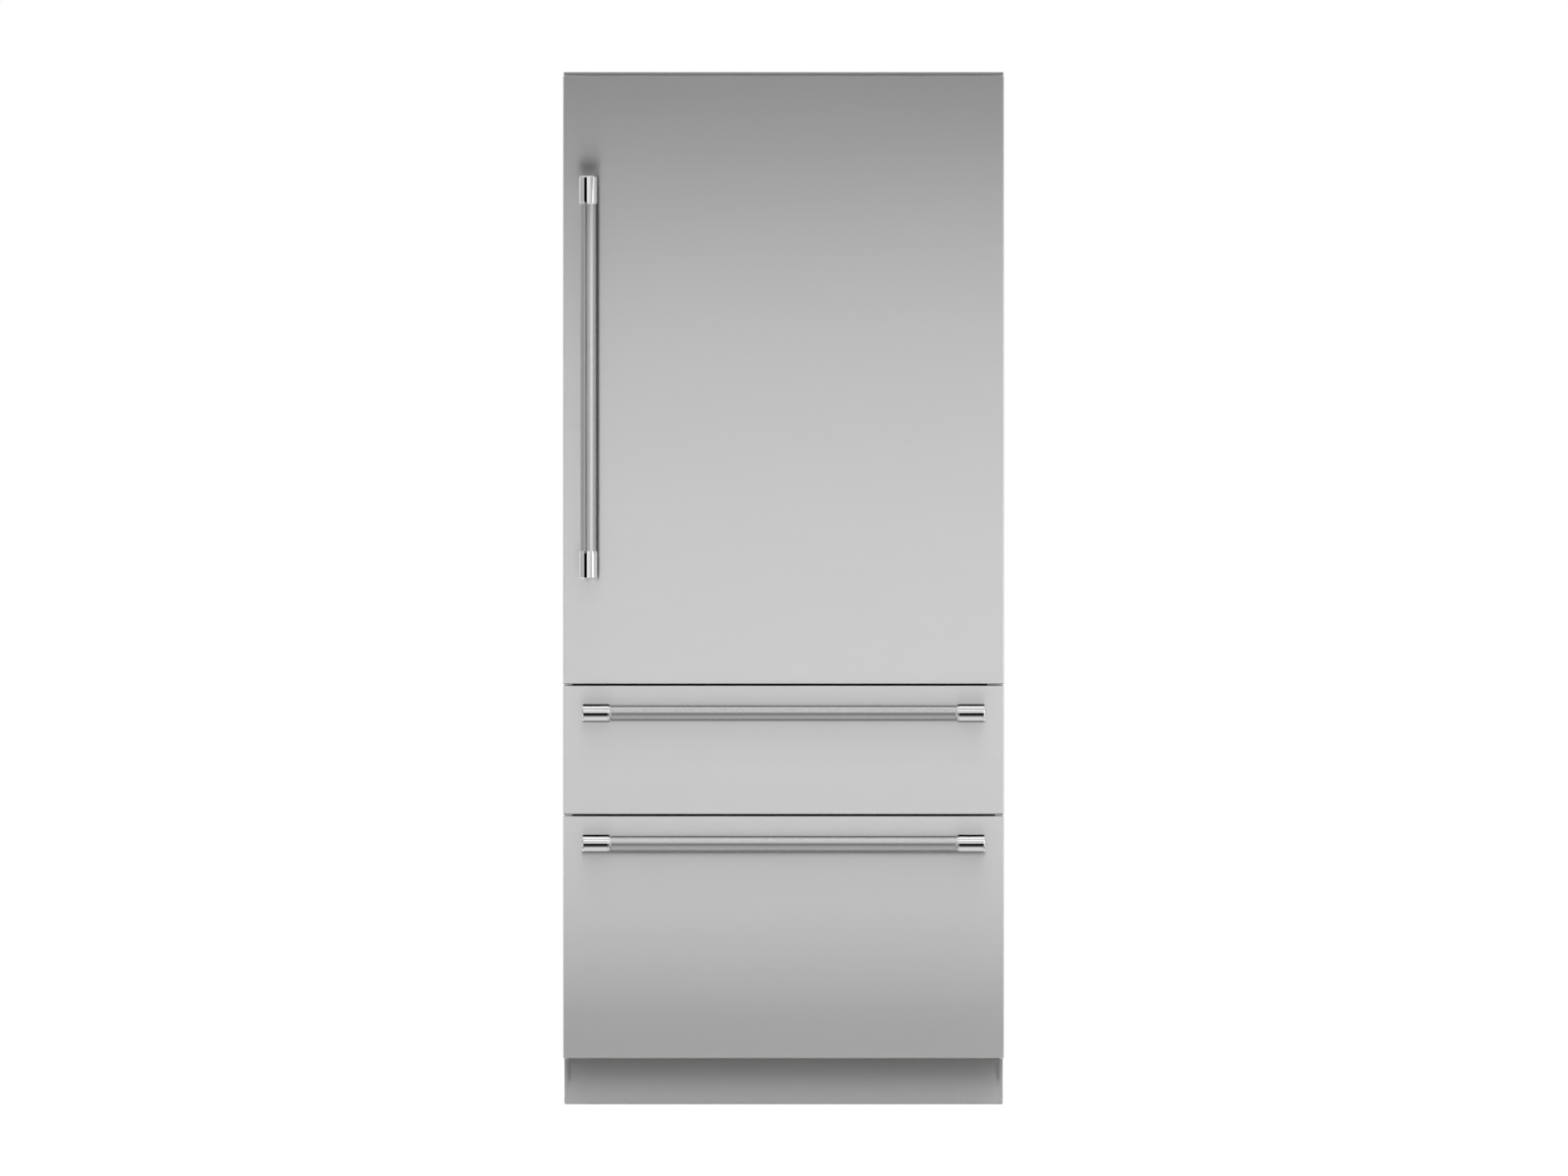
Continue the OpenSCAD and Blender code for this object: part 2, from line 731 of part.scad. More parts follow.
// Fin-and-tube coil between x0 and x1, with its rows of tube joined by return bends
module coil(x0, x1, d, h, fin_count, tube_ys, tube_zs) {
    fin_t = 1;
    step = (x1 - x0 - fin_t) / (fin_count - 1);
    for (i = [0:fin_count - 1]) translate([x0 + i * step, 0, 0]) cube([fin_t, d, h]);
    for (y = tube_ys, z = tube_zs) translate([0, y, z]) rod_x(x0 - 8, x1 + 8, tube_d);
    for (y = tube_ys, i = [0:len(tube_zs) - 2]) {
        gap = (tube_zs[i + 1] - tube_zs[i]) / 2;
        side = i % 2 == 0 ? 1 : -1;
        translate([side > 0 ? x1 + 8 : x0 - 8, y, tube_zs[i] + gap])
            rotate([90, 0, side > 0 ? 0 : 180]) rotate([0, 0, -90]) tube_bend(gap, 180);
    }
}

module condenser() {
    d = 96;
    h = 180;
    color("black") translate([0, machine_mid_y - d / 2, coil_z0])
        coil(cond_x0 + 30, cond_x1 - 30, d, h, 18, [24, 72], [22, 62, 102, 142]);
}

// Square plate with a round opening, four arms and a motor; its axis is Z, and the air goes up
module fan_frame(d, size, depth, motor_d, shaft_d, shaft_l) {
    ring = 3;
    linear_extrude(ring) difference() {
        square(size, center = true);
        circle(d = d + 6);
    }
    difference() {
        cylinder(d = d + 10, h = depth);
        translate([0, 0, -1]) cylinder(d = d + 6, h = depth + 2);
    }
    for (a = [45:90:315]) rotate([0, 0, a])
        translate([motor_d / 2 - 2, -3, -8]) cube([d / 2 + 5 - motor_d / 2, 6, 5]);
    for (a = [45:90:315]) rotate([0, 0, a]) translate([d / 2 + 3, -3, -8]) cube([4, 6, 8 + ring]);
    translate([0, 0, -22]) cylinder(d = motor_d, h = 20);
    translate([0, 0, -3]) cylinder(d = shaft_d, h = 3 + shaft_l);
}

// Hub and pitched blades that turn on the frame's shaft
module fan_rotor(d, depth, hub_d, shaft_d, shaft_l, blades) {
    pitch = 32;
    difference() {
        union() {
            cylinder(d = hub_d, h = depth);
            intersection() {
                cylinder(d = d, h = depth);
                for (i = [0:blades - 1]) rotate([0, 0, i * 360 / blades])
                    translate([0, 0, depth / 2]) rotate([pitch, 0, 0])
                        translate([hub_d / 2 - 2, -d, -1]) cube([d, 2 * d, 2]);
            }
        }
        translate([0, 0, -1]) cylinder(d = shaft_d + 2 * pin_gap, h = 1 + shaft_l + seat_gap);
    }
}

cond_fan_depth = 28;
cond_motor_d = 44;
fan_shaft_d = 6;
cond_fan_z = coil_z0 + 96;

module condenser_fan_place() {
    translate([fan_plate_x, machine_mid_y, cond_fan_z]) rotate([0, 90, 0]) rotate([0, 0, 45]) children();
}

module condenser_fan_frame() {
    size = [machine_d - 12, cond_plate_h];
    color("dimgray") {
        translate([fan_plate_x, machine_mid_y, cond_fan_z]) rotate([0, 90, 0]) rotate([0, 0, 90])
            fan_frame(cond_fan_d, size, cond_fan_depth + 6, cond_motor_d, fan_shaft_d, cond_fan_depth - 6);
        // foot of the plate on the base
        span([fan_plate_x, machine_mid_y - size.x / 2, coil_z0],
            [fan_plate_x + 3, machine_mid_y + size.x / 2, cond_fan_z - size.y / 2]);
    }
}

module condenser_fan() {
    color("black") condenser_fan_place() translate([0, 0, 3])
        fan_rotor(cond_fan_d, cond_fan_depth, cond_motor_d, fan_shaft_d, cond_fan_depth - 9, 5);
}

// ---------- Inside the refrigerator ----------

module shelf_tracks() {
    top = track_z0 + slot_count * slot_pitch + track_end;
    color("gainsboro") both_sides()
        difference() {
            span([track_x - track_w / 2, y_in - track_d, track_z0 - track_end], [track_x + track_w / 2, y_in, top]);
            span([track_x - track_w / 2 + bracket_t, y_in - track_d + bracket_t, track_z0 - track_end - 1],
                [track_x + track_w / 2 - bracket_t, y_in + 1, top + 1]);
            for (i = [0:slot_count - 1])
                translate([track_x - bracket_t, y_in - track_d - 1, track_z0 + i * slot_pitch])
                    cube([2 * bracket_t, bracket_t + 2, slot_h]);
        }
}

function shelf_z(i) = track_z0 + shelf_slots[i] * slot_pitch + slot_h + 12;

// Section of the folded strip that grips an edge of the glass; the glass lies at positive u
module trim_section() {
    translate([-trim_t, -trim_t - trim_skirt]) square([trim_t, trim_skirt + glass_t + 3 * trim_t]);
    for (v = [-trim_t, glass_t]) translate([-trim_t, v]) square([trim_lip + trim_t, trim_t]);
}

module shelf_frame(i) {
    z = shelf_z(i);
    slot_z = track_z0 + shelf_slots[i] * slot_pitch;
    under_z = slot_z - slot_pitch;
    y1 = y_in - track_d;
    wall_y = y1 + bracket_t;
    hook_y = wall_y + bracket_t;
    bracket_y = shelf_y0 + trim_lip / 2;
    color("silver") {
        // brackets, each with a hook over the track's front and a toe in the slot below
        both_sides() along_x(track_x - bracket_t / 2, track_x + bracket_t / 2)
            polygon([[bracket_y, z], [y1, z], [y1, slot_z + slot_h - 2],
                [hook_y, slot_z + slot_h - 2], [hook_y, slot_z - 5], [wall_y + seat_gap, slot_z - 5],
                [wall_y + seat_gap, slot_z], [y1, slot_z], [y1, under_z + slot_h - 3],
                [hook_y, under_z + slot_h - 3], [hook_y, under_z + 3], [y1, under_z + 3],
                [y1, under_z - 2], [y1 - 40, under_z - 2], [bracket_y, z - 20]]);
        // folded strips round the glass
        along_x(-shelf_x - trim_t, shelf_x + trim_t) {
            translate([shelf_y0, z]) trim_section();
            translate([shelf_y1, z]) mirror([1, 0]) trim_section();
        }
        both_sides() along_y(shelf_y0 - trim_t, shelf_y1 + trim_t)
            translate([shelf_x, z]) mirror([1, 0]) trim_section();
    }
}

module shelf_glass() {
    color("lightcyan", 0.5) {
        for (i = [0:len(shelf_slots) - 1])
            span([-shelf_x, shelf_y0, shelf_z(i)], [shelf_x, shelf_y1, shelf_z(i) + glass_t]);
        span([-in_x + 4, crisper_y0 + 4, crisper_glass_z], [in_x - 4, crisper_y1, crisper_glass_z + glass_t]);
    }
}

module crisper_frame() {
    lip_z = crisper_z1 - crisper_lip_t - seat_gap;
    t = crisper_rail_t;
    z0 = crisper_frame_z;
    z1 = crisper_glass_z;
    y0 = crisper_y0;
    y1 = crisper_y1;
    bar = 18;
    web_x = in_x - rib_w - seat_gap;
    half_divider = crisper_divider / 2;
    color("white") {
        // front and back bars
        along_x(1 - in_x, in_x - 1) rounded([y0, z0 + 4], [y0 + bar, z1], 3);
        span([1 - in_x, y1 - bar, z0 + 4], [in_x - 1, y1, z1]);
        // side rails, which rest on the liner's ribs, with ledges under the drawers' lips
        both_sides() along_y(y0 + crisper_front_t + 1, y1 - 2) {
            translate([in_x - bar, z0]) square([bar - 1, z1 - z0]);
            translate([web_x - crisper_web_t, lip_z - t]) square([crisper_web_t, z0 + 1 - lip_z + t]);
            translate([web_x - 8, lip_z - t]) square([8, t]);
        }
        // divider between the drawers, with a ledge on each side
        along_y(y0 + crisper_front_t + 1, y1 - 2) {
            translate([-half_divider, fridge_z0]) square([crisper_divider, z1 - fridge_z0]);
            translate([-half_divider - 9, lip_z - t]) square([crisper_divider + 18, t]);
        }
    }
}

// The right-hand crisper drawer; the left one is its mirror image
module crisper() {
    x0 = crisper_divider / 2 + 1.5;
    x1 = in_x - rib_w - seat_gap - crisper_web_t - 1.5;
    tub_x0 = x0 + 10;
    tub_x1 = x1 - 8;
    y0 = crisper_y0;
    y1 = crisper_y1 - 14;
    w = crisper_wall;
    r = 14;
    front_t = crisper_front_t;
    grip_r = 26;
    color("lightcyan", 0.6) difference() {
        union() {
            translate([0, 0, crisper_z0]) linear_extrude(crisper_h - seat_gap)
                rounded([tub_x0, y0 + 4], [tub_x1, y1], r);
            // lips that hang on the ledges
            translate([0, 0, crisper_z1 - crisper_lip_t]) linear_extrude(crisper_lip_t - seat_gap)
                rounded([x0, y0 + 4], [x1, y1], 6);
            // front, as wide as the lips
            along_x(x0, x1) rounded([y0, crisper_z0], [y0 + front_t, crisper_z1 - seat_gap], 3);
        }
        translate([0, 0, crisper_z0 + w]) linear_extrude(crisper_h)
            rounded([tub_x0 + w, y0 + front_t + w], [tub_x1 - w, y1 - w], r - w);
        // scooped grip in the top of the front
        translate([(tub_x0 + tub_x1) / 2, 0, crisper_z1 + 6]) along_y(y0 - 1, y0 + front_t + w + 1) circle(grip_r);
    }
}

panel_in = 34;       // from the cabinet's front plane to the control panel
panel_half = 230;    // half the control panel's length
panel_h = 24;
panel_d = 96;
light_half = 190;    // half the length of the light's lens
light_in = 150;      // from the panel's front edge to the lens
light_d = 50;
light_t = 7;

module control_panel() {
    y0 = y_case + panel_in;
    z = fridge_z1 - panel_h;
    color("black") {
        along_x(-panel_half, panel_half)
            polygon([[y0, fridge_z1], [y0, z + 18], [y0 + 14, z], [y0 + panel_d - 12, z], [y0 + panel_d, fridge_z1]]);
        // lens of the ceiling light
        translate([0, 0, fridge_z1 - light_t]) linear_extrude(light_t)
            rounded([-light_half, y0 + light_in], [light_half, y0 + light_in + light_d], 10);
    }
}

module air_tower() {
    z0 = crisper_glass_z + glass_t + 8;
    z1 = fridge_z1 - 40;
    half = tower_w / 2;
    wall = 2.5;
    color("silver") difference() {
        translate([0, 0, z0]) linear_extrude(z1 - z0) difference() {
            union() {
                translate([-half, y_in - 10]) square([tower_w, 10]);
                rounded([-half + 4, y_in - tower_d], [half - 4, y_in], 8);
            }
            translate([-half + 14, y_in - tower_d + wall]) square([tower_w - 28, tower_d]);
        }
        for (z = [z0 + 60:75:z1 - 50], x = [-1, 1], k = [0:2])
            translate([x * 34 - 22, y_in - tower_d - 1, z + k * 10]) cube([44, wall + 2, 5]);
    }
}

// ---------- Inside the freezer ----------

fan_z = freezer_z1 - 90;
y_evap_motor = y_evap + 25;
evap_motor_d = 36;
evap_fan_depth = 16;
evap_shaft_l = 11.5;

module runner_places() {
    for (z = [upper_rail_z, lower_rail_z]) translate([0, 0, z]) children();
}

module runner_channels() {
    color("silver") runner_places() both_sides()
        along_y(rail_y, rail_y + rail_l) difference() {
            translate([in_x - rail_w + 2.5, -rail_h / 2]) square([rail_w - 2.5, rail_h]);
            translate([in_x - rail_w, rail_s - rail_h / 2]) square([rail_w - rail_s, rail_h - 2 * rail_s]);
        }
}

// Middle member of one pair of runners, with its ball cages
module runner_slides(z) {
    x1 = in_x - rail_s - 2;
    x0 = in_x - rail_w + 1.5;
    color("silver") translate([0, 0, z]) both_sides() {
        along_y(rail_y, rail_y + rail_l) difference() {
            translate([x0, -mid_flange_z]) square([x1 - x0, 2 * mid_flange_z]);
            translate([x0 - 1, rail_s - mid_flange_z]) square([x1 - x0 + 1 - rail_s, 2 * (mid_flange_z - rail_s)]);
        }
        for (s = [-1, 1]) {
            // each cage starts halfway into the flange that carries it
            outer = [mid_flange_z - rail_s / 2, mid_flange_z + cage_t];
            inner = [mid_flange_z - rail_s - cage_t, mid_flange_z - rail_s / 2];
            span([x0 + 2, rail_y + rail_l - cage_l, min(s * outer[0], s * outer[1])],
                [x1 - 0.5, rail_y + rail_l - 4, max(s * outer[0], s * outer[1])]);
            span([x0 + 1, rail_y + 4, min(s * inner[0], s * inner[1])],
                [x1 - rail_s - 0.5, rail_y + cage_l, max(s * inner[0], s * inner[1])]);
        }
    }
}

// Inner runner members, with the plates that carry the bin and hold the front
module carriage(ledge_z, rail_z) {
    x_out = in_x - rail_w;
    x_in = x_out - plate_t;
    top = rail_z + inner_flange_z;
    color("silver") both_sides() {
        translate([0, 0, rail_z]) along_y(rail_y, rail_y + rail_l) difference() {
            translate([x_out, -inner_flange_z]) square([rail_w - 6, 2 * inner_flange_z]);
            translate([x_out + rail_s, rail_s - inner_flange_z]) square([rail_w, 2 * (inner_flange_z - rail_s)]);
        }
        span([x_in, y_seal, ledge_z - plate_t], [x_out, rail_y + rail_l, top]);
        span([x_out - ledge_w, bin_y0, ledge_z - plate_t], [x_in, rail_y + rail_l, ledge_z]);
        span([x_out - ledge_w, y_seal, ledge_z - plate_t], [x_in, y_seal + plate_t, top]);
    }
}

module freezer_back_panel() {
    t = 3;
    grille_rings = 4;
    ring_pitch = 11;
    color("white") {
        along_y(y_evap, y_evap + t) difference() {
            translate([-in_x, hump_z]) square([2 * in_x, freezer_z1 - hump_z]);
            // grille of arcs in front of the fan
            translate([0, fan_z]) for (k = [0:grille_rings - 1]) difference() {
                circle(r = evap_fan_d / 2 - k * ring_pitch);
                circle(r = evap_fan_d / 2 - k * ring_pitch - 6);
                for (a = [0:60:120]) rotate(a) square([evap_fan_d + 2, 7], center = true);
            }
            // return slots
            for (x = [-300:30:300]) translate([x - 5, hump_z + 22]) square([10, 46]);
        }
        // carrier with the fan's motor
        translate([0, y_evap_motor, fan_z]) rotate([90, 0, 0]) {
            for (a = [30:120:270]) rotate([0, 0, a]) {
                translate([14, -4, -8]) cube([evap_fan_d / 2 - 4, 8, 4]);
                translate([evap_fan_d / 2 + 6, -4, -8]) cube([4, 8, y_evap_motor - y_evap + 6]);
            }
            translate([0, 0, -14]) cylinder(d = evap_motor_d, h = 12);
            translate([0, 0, -3]) cylinder(d = fan_shaft_d, h = 4 + evap_shaft_l);
        }
    }
}

module evaporator_fan() {
    color("gainsboro") translate([0, y_evap_motor - 1, fan_z]) rotate([90, 0, 0])
        fan_rotor(evap_fan_d - 4, evap_fan_depth, evap_motor_d - 2, fan_shaft_d, evap_shaft_l, 5);
}

module evaporator() {
    d = 34;
    h = 200;
    half = 290;
    color("silver") translate([0, y_in - d - 3, hump_z + 40]) {
        coil(-half, half, d, h, 24, [17], [20, 60, 100, 140, 180]);
        for (x = [-half - 3, half]) translate([x, 0, 0]) cube([3, d + 3, h]);
    }
}

// ---------- Hinges ----------

// Arm with its pin and its wall plate, which reaches down from the arm. The pin points up on the lower
// hinge and down on the upper one.
module hinge(arm_z, pin_z) {
    w = hinge_arm_w;
    plate_y = y_case - hinge_plate_t;
    color("silver") {
        difference() {
            union() {
                translate([pivot_x, pivot_y, arm_z]) cylinder(d = w, h = hinge_arm_t);
                translate([pivot_x, pivot_y, pin_z]) cylinder(d = hinge_pin_d, h = hinge_pin_l);
                span([pivot_x - w / 2, pivot_y, arm_z], [pivot_x + w / 2, y_case, arm_z + hinge_arm_t]);
                span([pivot_x - w / 2, plate_y, arm_z - plate_drop], [pivot_x + w / 2, y_case, arm_z]);
            }
            hinge_screw_places(arm_z) {
                along_y(plate_y - 1, y_case + 1) circle(d = screw_d + 2 * loose);
                along_y(plate_y - 1, plate_y + screw_head_t) circle(d = screw_head_d + 2 * loose);
            }
        }
        // screws, flush with the plate
        hinge_screw_places(arm_z) {
            along_y(plate_y, plate_y + screw_head_t) circle(d = screw_head_d);
            along_y(plate_y, plate_y + screw_l) circle(d = screw_d);
        }
    }
}

module hinge_upper() {
    hinge(upper_arm_z, upper_arm_z - hinge_pin_l);
}

module hinge_lower() {
    hinge(lower_arm_z, lower_arm_z + hinge_arm_t);
}

// Bush with its flange at the bottom, pressed into the end of the door body
module hinge_bush() {
    difference() {
        union() {
            cylinder(d = bush_d, h = bush_l);
            translate([0, 0, -bush_flange_t]) cylinder(d = bush_flange_d, h = bush_flange_t);
        }
        translate([0, 0, -bush_flange_t - 1]) cylinder(d = bush_bore, h = bush_flange_t + bush_l + 2);
    }
}

// The children at both ends of the door body, turned over at the top
module bush_places() {
    translate([pivot_x, pivot_y, body_z0]) children();
    translate([pivot_x, pivot_y, body_z1]) mirror([0, 0, 1]) children();
}

module hinge_bushes() {
    color("black") bush_places() hinge_bush();
}

// ---------- Fronts ----------

// Folded steel pan, open at the back behind its turned-in edge
module front_pan(z0, z1) {
    edge = 14;
    module solid_pan(inset, y_to) {
        intersection() {
            translate([0, 0, z0 + inset]) linear_extrude(z1 - z0 - 2 * inset)
                pan_outline(-half_w + inset, half_w - inset, y_front + inset, y_to, max(pan_r - inset, 0.5));
            along_x(-half_w + inset, half_w - inset)
                pan_outline_yz(z0 + inset, z1 - inset, y_front + inset, y_to, max(pan_r - inset, 0.5));
        }
    }
    color("silver") difference() {
        solid_pan(0, y_body);
        solid_pan(pan_sheet, y_body - pan_sheet);
        span([-half_w + edge, y_body - pan_sheet - 1, z0 + edge], [half_w - edge, y_body + 1, z1 - edge]);
    }
}

// Outline in X and Y with rounded corners at its low Y side
module pan_outline(x0, x1, y0, y1, r) {
    translate([x0 + r, y0]) square([x1 - x0 - 2 * r, y1 - y0]);
    translate([x0, y0 + r]) square([x1 - x0, y1 - y0 - r]);
    for (x = [x0 + r, x1 - r]) translate([x, y0 + r]) circle(r);
}

// The same outline in Y and Z
module pan_outline_yz(z0, z1, y0, y1, r) {
    translate([y0, z0 + r]) square([y1 - y0, z1 - z0 - 2 * r]);
    translate([y0 + r, z0]) square([y1 - y0 - r, z1 - z0]);
    for (z = [z0 + r, z1 - r]) translate([y0 + r, z]) circle(r);
}

// Insulated body behind a pan, with its closed hollow for the foam
module insulated_body(z0, z1) {
    s = body_skin;
    difference() {
        along_y(y_body, y_seal) rounded([-body_x, z0], [body_x, z1], 4);
        span([-body_x + s, y_body + s, z0 + s], [body_x - s, y_seal - s, z1 - s]);
    }
}

// Magnetic gasket round an opening from z0 to z1
module gasket(z0, z1) {
    module ring(inset, w, y0, y1) {
        g = gasket_in + inset;
        along_y(y0, y1) difference() {
            rounded([-in_x - g - w, z0 - g - w], [in_x + g + w, z1 + g + w], gasket_r - inset);
            rounded([-in_x - g, z0 - g], [in_x + g, z1 + g], max(gasket_r - inset - w, 1));
        }
    }
    y1 = y_case - seat_gap;
    color("dimgray") {
        ring(0, gasket_w, y_seal, y_seal + gasket_base_t);
        ring((gasket_w - gasket_neck_w) / 2, gasket_neck_w, y_seal + gasket_base_t, y1 - gasket_head_t);
        ring((gasket_w - gasket_head_w) / 2, gasket_head_w, y1 - gasket_head_t, y1);
    }
}

module door_panel() {
    front_pan(door_z0, door_z1);
}

module upper_drawer_panel() {
    front_pan(upper_z0, upper_z1);
}

module lower_drawer_panel() {
    front_pan(lower_z0, lower_z1);
}

module upper_drawer_body() {
    color("white") insulated_body(upper_z0 + body_end_step, upper_z1 - body_end_step);
}

module lower_drawer_body() {
    color("white") insulated_body(lower_z0 + body_end_step, lower_z1 - body_end_step);
}

module upper_drawer_gasket() {
    gasket(bar_z1, freezer_z1);
}

module lower_drawer_gasket() {
    gasket(freezer_z0, bar_z0);
}

module door_gasket() {
    gasket(fridge_z0, fridge_z1);
}

module door_lugs(z, depth) {
    both_sides() translate([0, y_seal + depth, z]) rod_x(ridge_in_x - lug_l, ridge_in_x + 1, lug_d);
}

module door_body() {
    color("white") difference() {
        union() {
            insulated_body(body_z0, body_z1);
            // seats of the hinge bushes
            bush_places() cylinder(d = bush_d + 6, h = bush_l + 3);
            // ridge that stands round the bins
            along_y(y_seal - 1, y_seal + ridge_h) difference() {
                rounded([-ridge_x, ridge_z0], [ridge_x, ridge_z1], 18);
                rounded([-ridge_in_x, ridge_z0 + ridge_w], [ridge_in_x, ridge_z1 - ridge_w], 8);
            }
            for (z = [dairy_z, middle_bin_z, lower_door_bin_z]) door_lugs(z + lug_up, lug_out);
        }
        bush_places() translate([0, 0, -1]) cylinder(d = bush_d + 2 * pin_gap, h = bush_l + 1);
    }
}

// Bin that hangs on two lugs of the door
module door_bin(z, depth, h, r) {
    x = door_bin_x;
    w = door_bin_wall;
    y1 = y_seal + depth;
    slot_d = lug_d + 2 * seat_gap;
    color("lightcyan", 0.6) difference() {
        translate([0, 0, z]) linear_extrude(h) union() {
            rounded([-x, y_seal + 10], [x, y1], r);
            translate([-x, y_seal]) square([2 * x, 40]);
        }
        translate([0, 0, z + w]) linear_extrude(h) difference() {
            union() {
                rounded([-x + w, y_seal + w], [x - w, y1 - w], r - w);
                translate([-x + w, y_seal + w]) square([2 * (x - w), 30]);
            }
            // thick ends that hold the lugs
            both_sides() translate([x - end_pad, y_seal]) square([end_pad, 28]);
        }
        // slots for the lugs, open downwards
        both_sides() translate([x - lug_l - 0.5, y_seal + lug_out, z + lug_up]) {
            rod_x(0, lug_l + 2, slot_d);
            translate([0, -slot_d / 2, -lug_up - 1]) cube([lug_l + 2, slot_d, lug_up + 1]);
        }
    }
}

module dairy_bin() {
    difference() {
        door_bin(dairy_z, dairy_depth, dairy_h, dairy_r);
        // bearings of the lid's pins
        color("lightcyan", 0.6) both_sides()
            translate([0, y_seal + lid_pin_in, dairy_z + dairy_h - lid_pin_down])
                rod_x(door_bin_x - end_pad - 1, door_bin_x + 1, lid_pin_d + 2 * pin_gap);
    }
}

module door_bin_middle() {
    door_bin(middle_bin_z, middle_bin_depth, middle_bin_h, door_bin_r);
}

module door_bin_lower() {
    door_bin(lower_door_bin_z, lower_bin_depth, lower_door_bin_h, door_bin_r);
}

// Lid of the dairy bin, which tips up on two pins
module dairy_lid() {
    z0 = dairy_z + dairy_h + lid_clear;
    pin_y = y_seal + lid_pin_in;
    pin_z = dairy_z + dairy_h - lid_pin_down;
    x = door_bin_x - end_pad - lid_clear;
    y1 = y_seal + dairy_depth + lid_clear + lid_t;
    r = lid_t + 2;
    ear_r = 6;
    color("lightcyan", 0.7) {
        // sheet with a front flap that turns down over the bin
        along_x(-x, x) {
            translate([pin_y - ear_r, z0]) square([y1 - r - pin_y + ear_r, lid_t]);
            translate([y1 - lid_t, z0 - lid_flap]) square([lid_t, lid_flap + lid_t - r]);
            translate([y1 - r, z0 + lid_t - r]) intersection() {
                difference() {
                    circle(r);
                    circle(r - lid_t);
                }
                square(r);
            }
        }
        // ears with the pins
        both_sides() {
            along_x(x - 4, x) {
                translate([pin_y, pin_z]) circle(ear_r);
                translate([pin_y - ear_r, pin_z]) square([2 * ear_r, z0 + lid_t - pin_z]);
            }
            translate([0, pin_y, pin_z]) rod_x(x - 1, door_bin_x - 1, lid_pin_d);
        }
    }
}

// ---------- Handles ----------

// Handle along X, centred, with its axis at the origin and the front at +Y
module handle_bar() {
    l = handle_l - 2 * cap_l + 2 * 10;
    difference() {
        rod_x(-l / 2, l / 2, bar_d);
        rod_x(-l / 2 - 1, l / 2 + 1, bar_d - 2 * bar_wall);
    }
}

module handle_end() {
    socket = 10;
    x0 = handle_l / 2 - cap_l;
    step = 3;
    difference() {
        union() {
            translate([x0, 0, 0]) rotate([0, 90, 0]) {
                soft_rod(cap_d - 1.2, step + 2, 0.8);
                translate([0, 0, step]) soft_rod(cap_d, cap_l - step - 2, 1.6);
                translate([0, 0, cap_l - 6]) soft_rod(cap_d - 1.6, 6, 2.4);
            }
            // post that flares into its foot on the front
            translate([x0 + cap_l / 2, 0, 0]) rotate([-90, 0, 0]) rotate_extrude() difference() {
                union() {
                    square([post_d / 2, handle_out]);
                    translate([0, handle_out - 4]) square([post_foot_d / 2, 4]);
                    translate([0, handle_out - 4 - (post_foot_d - post_d) / 2])
                        square([post_foot_d / 2, (post_foot_d - post_d) / 2]);
                }
                translate([post_foot_d / 2, handle_out - 4 - (post_foot_d - post_d) / 2])
                    circle((post_foot_d - post_d) / 2);
            }
        }
        rod_x(x0 - 1, x0 + socket, bar_d + 2 * pin_gap);
    }
}

module drawer_handle_place(z_top) {
    translate([0, y_front - handle_out, z_top - drawer_handle_down]) children();
}

module door_handle_place() {
    translate([-half_w + door_handle_in, y_front - handle_out, (door_z0 + door_z1) / 2 + door_handle_up])
        rotate([0, -90, 0]) children();
}

module handle_ends() {
    color("gainsboro") {
        handle_end();
        mirror([1, 0, 0]) handle_end();
    }
}

module door_handle_bar() {
    color("silver") door_handle_place() handle_bar();
}

module door_handle_ends() {
    door_handle_place() handle_ends();
}

module upper_handle_bar() {
    color("silver") drawer_handle_place(upper_z1) handle_bar();
}

module upper_handle_ends() {
    drawer_handle_place(upper_z1) handle_ends();
}

module lower_handle_bar() {
    color("silver") drawer_handle_place(lower_z1) handle_bar();
}

module lower_handle_ends() {
    drawer_handle_place(lower_z1) handle_ends();
}

// ---------- Drawer bins ----------

// Rim round the top of a bin
module rim(x, y0, y1, z) {
    translate([0, 0, z - rim_t]) linear_extrude(rim_t) difference() {
        rounded([-x - rim_w, y0], [x + rim_w, y1], bin_r);
        rounded([-x + bin_wall, y0 + bin_wall], [x - bin_wall, y1 - bin_wall], bin_r - bin_wall);
    }
}

module upper_bin() {
    z = upper_bin_z;
    color("white") {
        difference() {
            translate([0, 0, z]) linear_extrude(upper_bin_h) rounded([-bin_x, bin_y0], [bin_x, bin_y1], bin_r);
            translate([0, 0, z + bin_wall]) linear_extrude(upper_bin_h)
                rounded([-bin_x + bin_wall, bin_y0 + bin_wall], [bin_x - bin_wall, bin_y1 - bin_wall],
                    bin_r - bin_wall);
        }
        rim(bin_x, bin_y0, bin_y1, z + upper_bin_h);
    }
}

module lower_bin() {
    z = lower_bin_z;
    w = bin_wall;
    low_x = in_x - rail_w - ledge_w - 3;
    low_y1 = y_hump - 8;
    color("white") {
        difference() {
            union() {
                translate([0, 0, z]) linear_extrude(lower_step_z + w - z) rounded([-low_x, bin_y0], [low_x, low_y1], bin_r);
                translate([0, 0, lower_step_z]) linear_extrude(z + lower_bin_h - lower_step_z)
                    rounded([-bin_x, bin_y0], [bin_x, bin_y1], bin_r);
            }
            translate([0, 0, z + w]) linear_extrude(lower_bin_h)
                rounded([-low_x + w, bin_y0 + w], [low_x - w, low_y1 - w], bin_r - w);
            translate([0, 0, lower_step_z + w]) linear_extrude(lower_bin_h)
                rounded([-bin_x + w, bin_y0 + w], [bin_x - w, bin_y1 - w], bin_r - w);
        }
        rim(bin_x, bin_y0, bin_y1, z + lower_bin_h);
    }
}

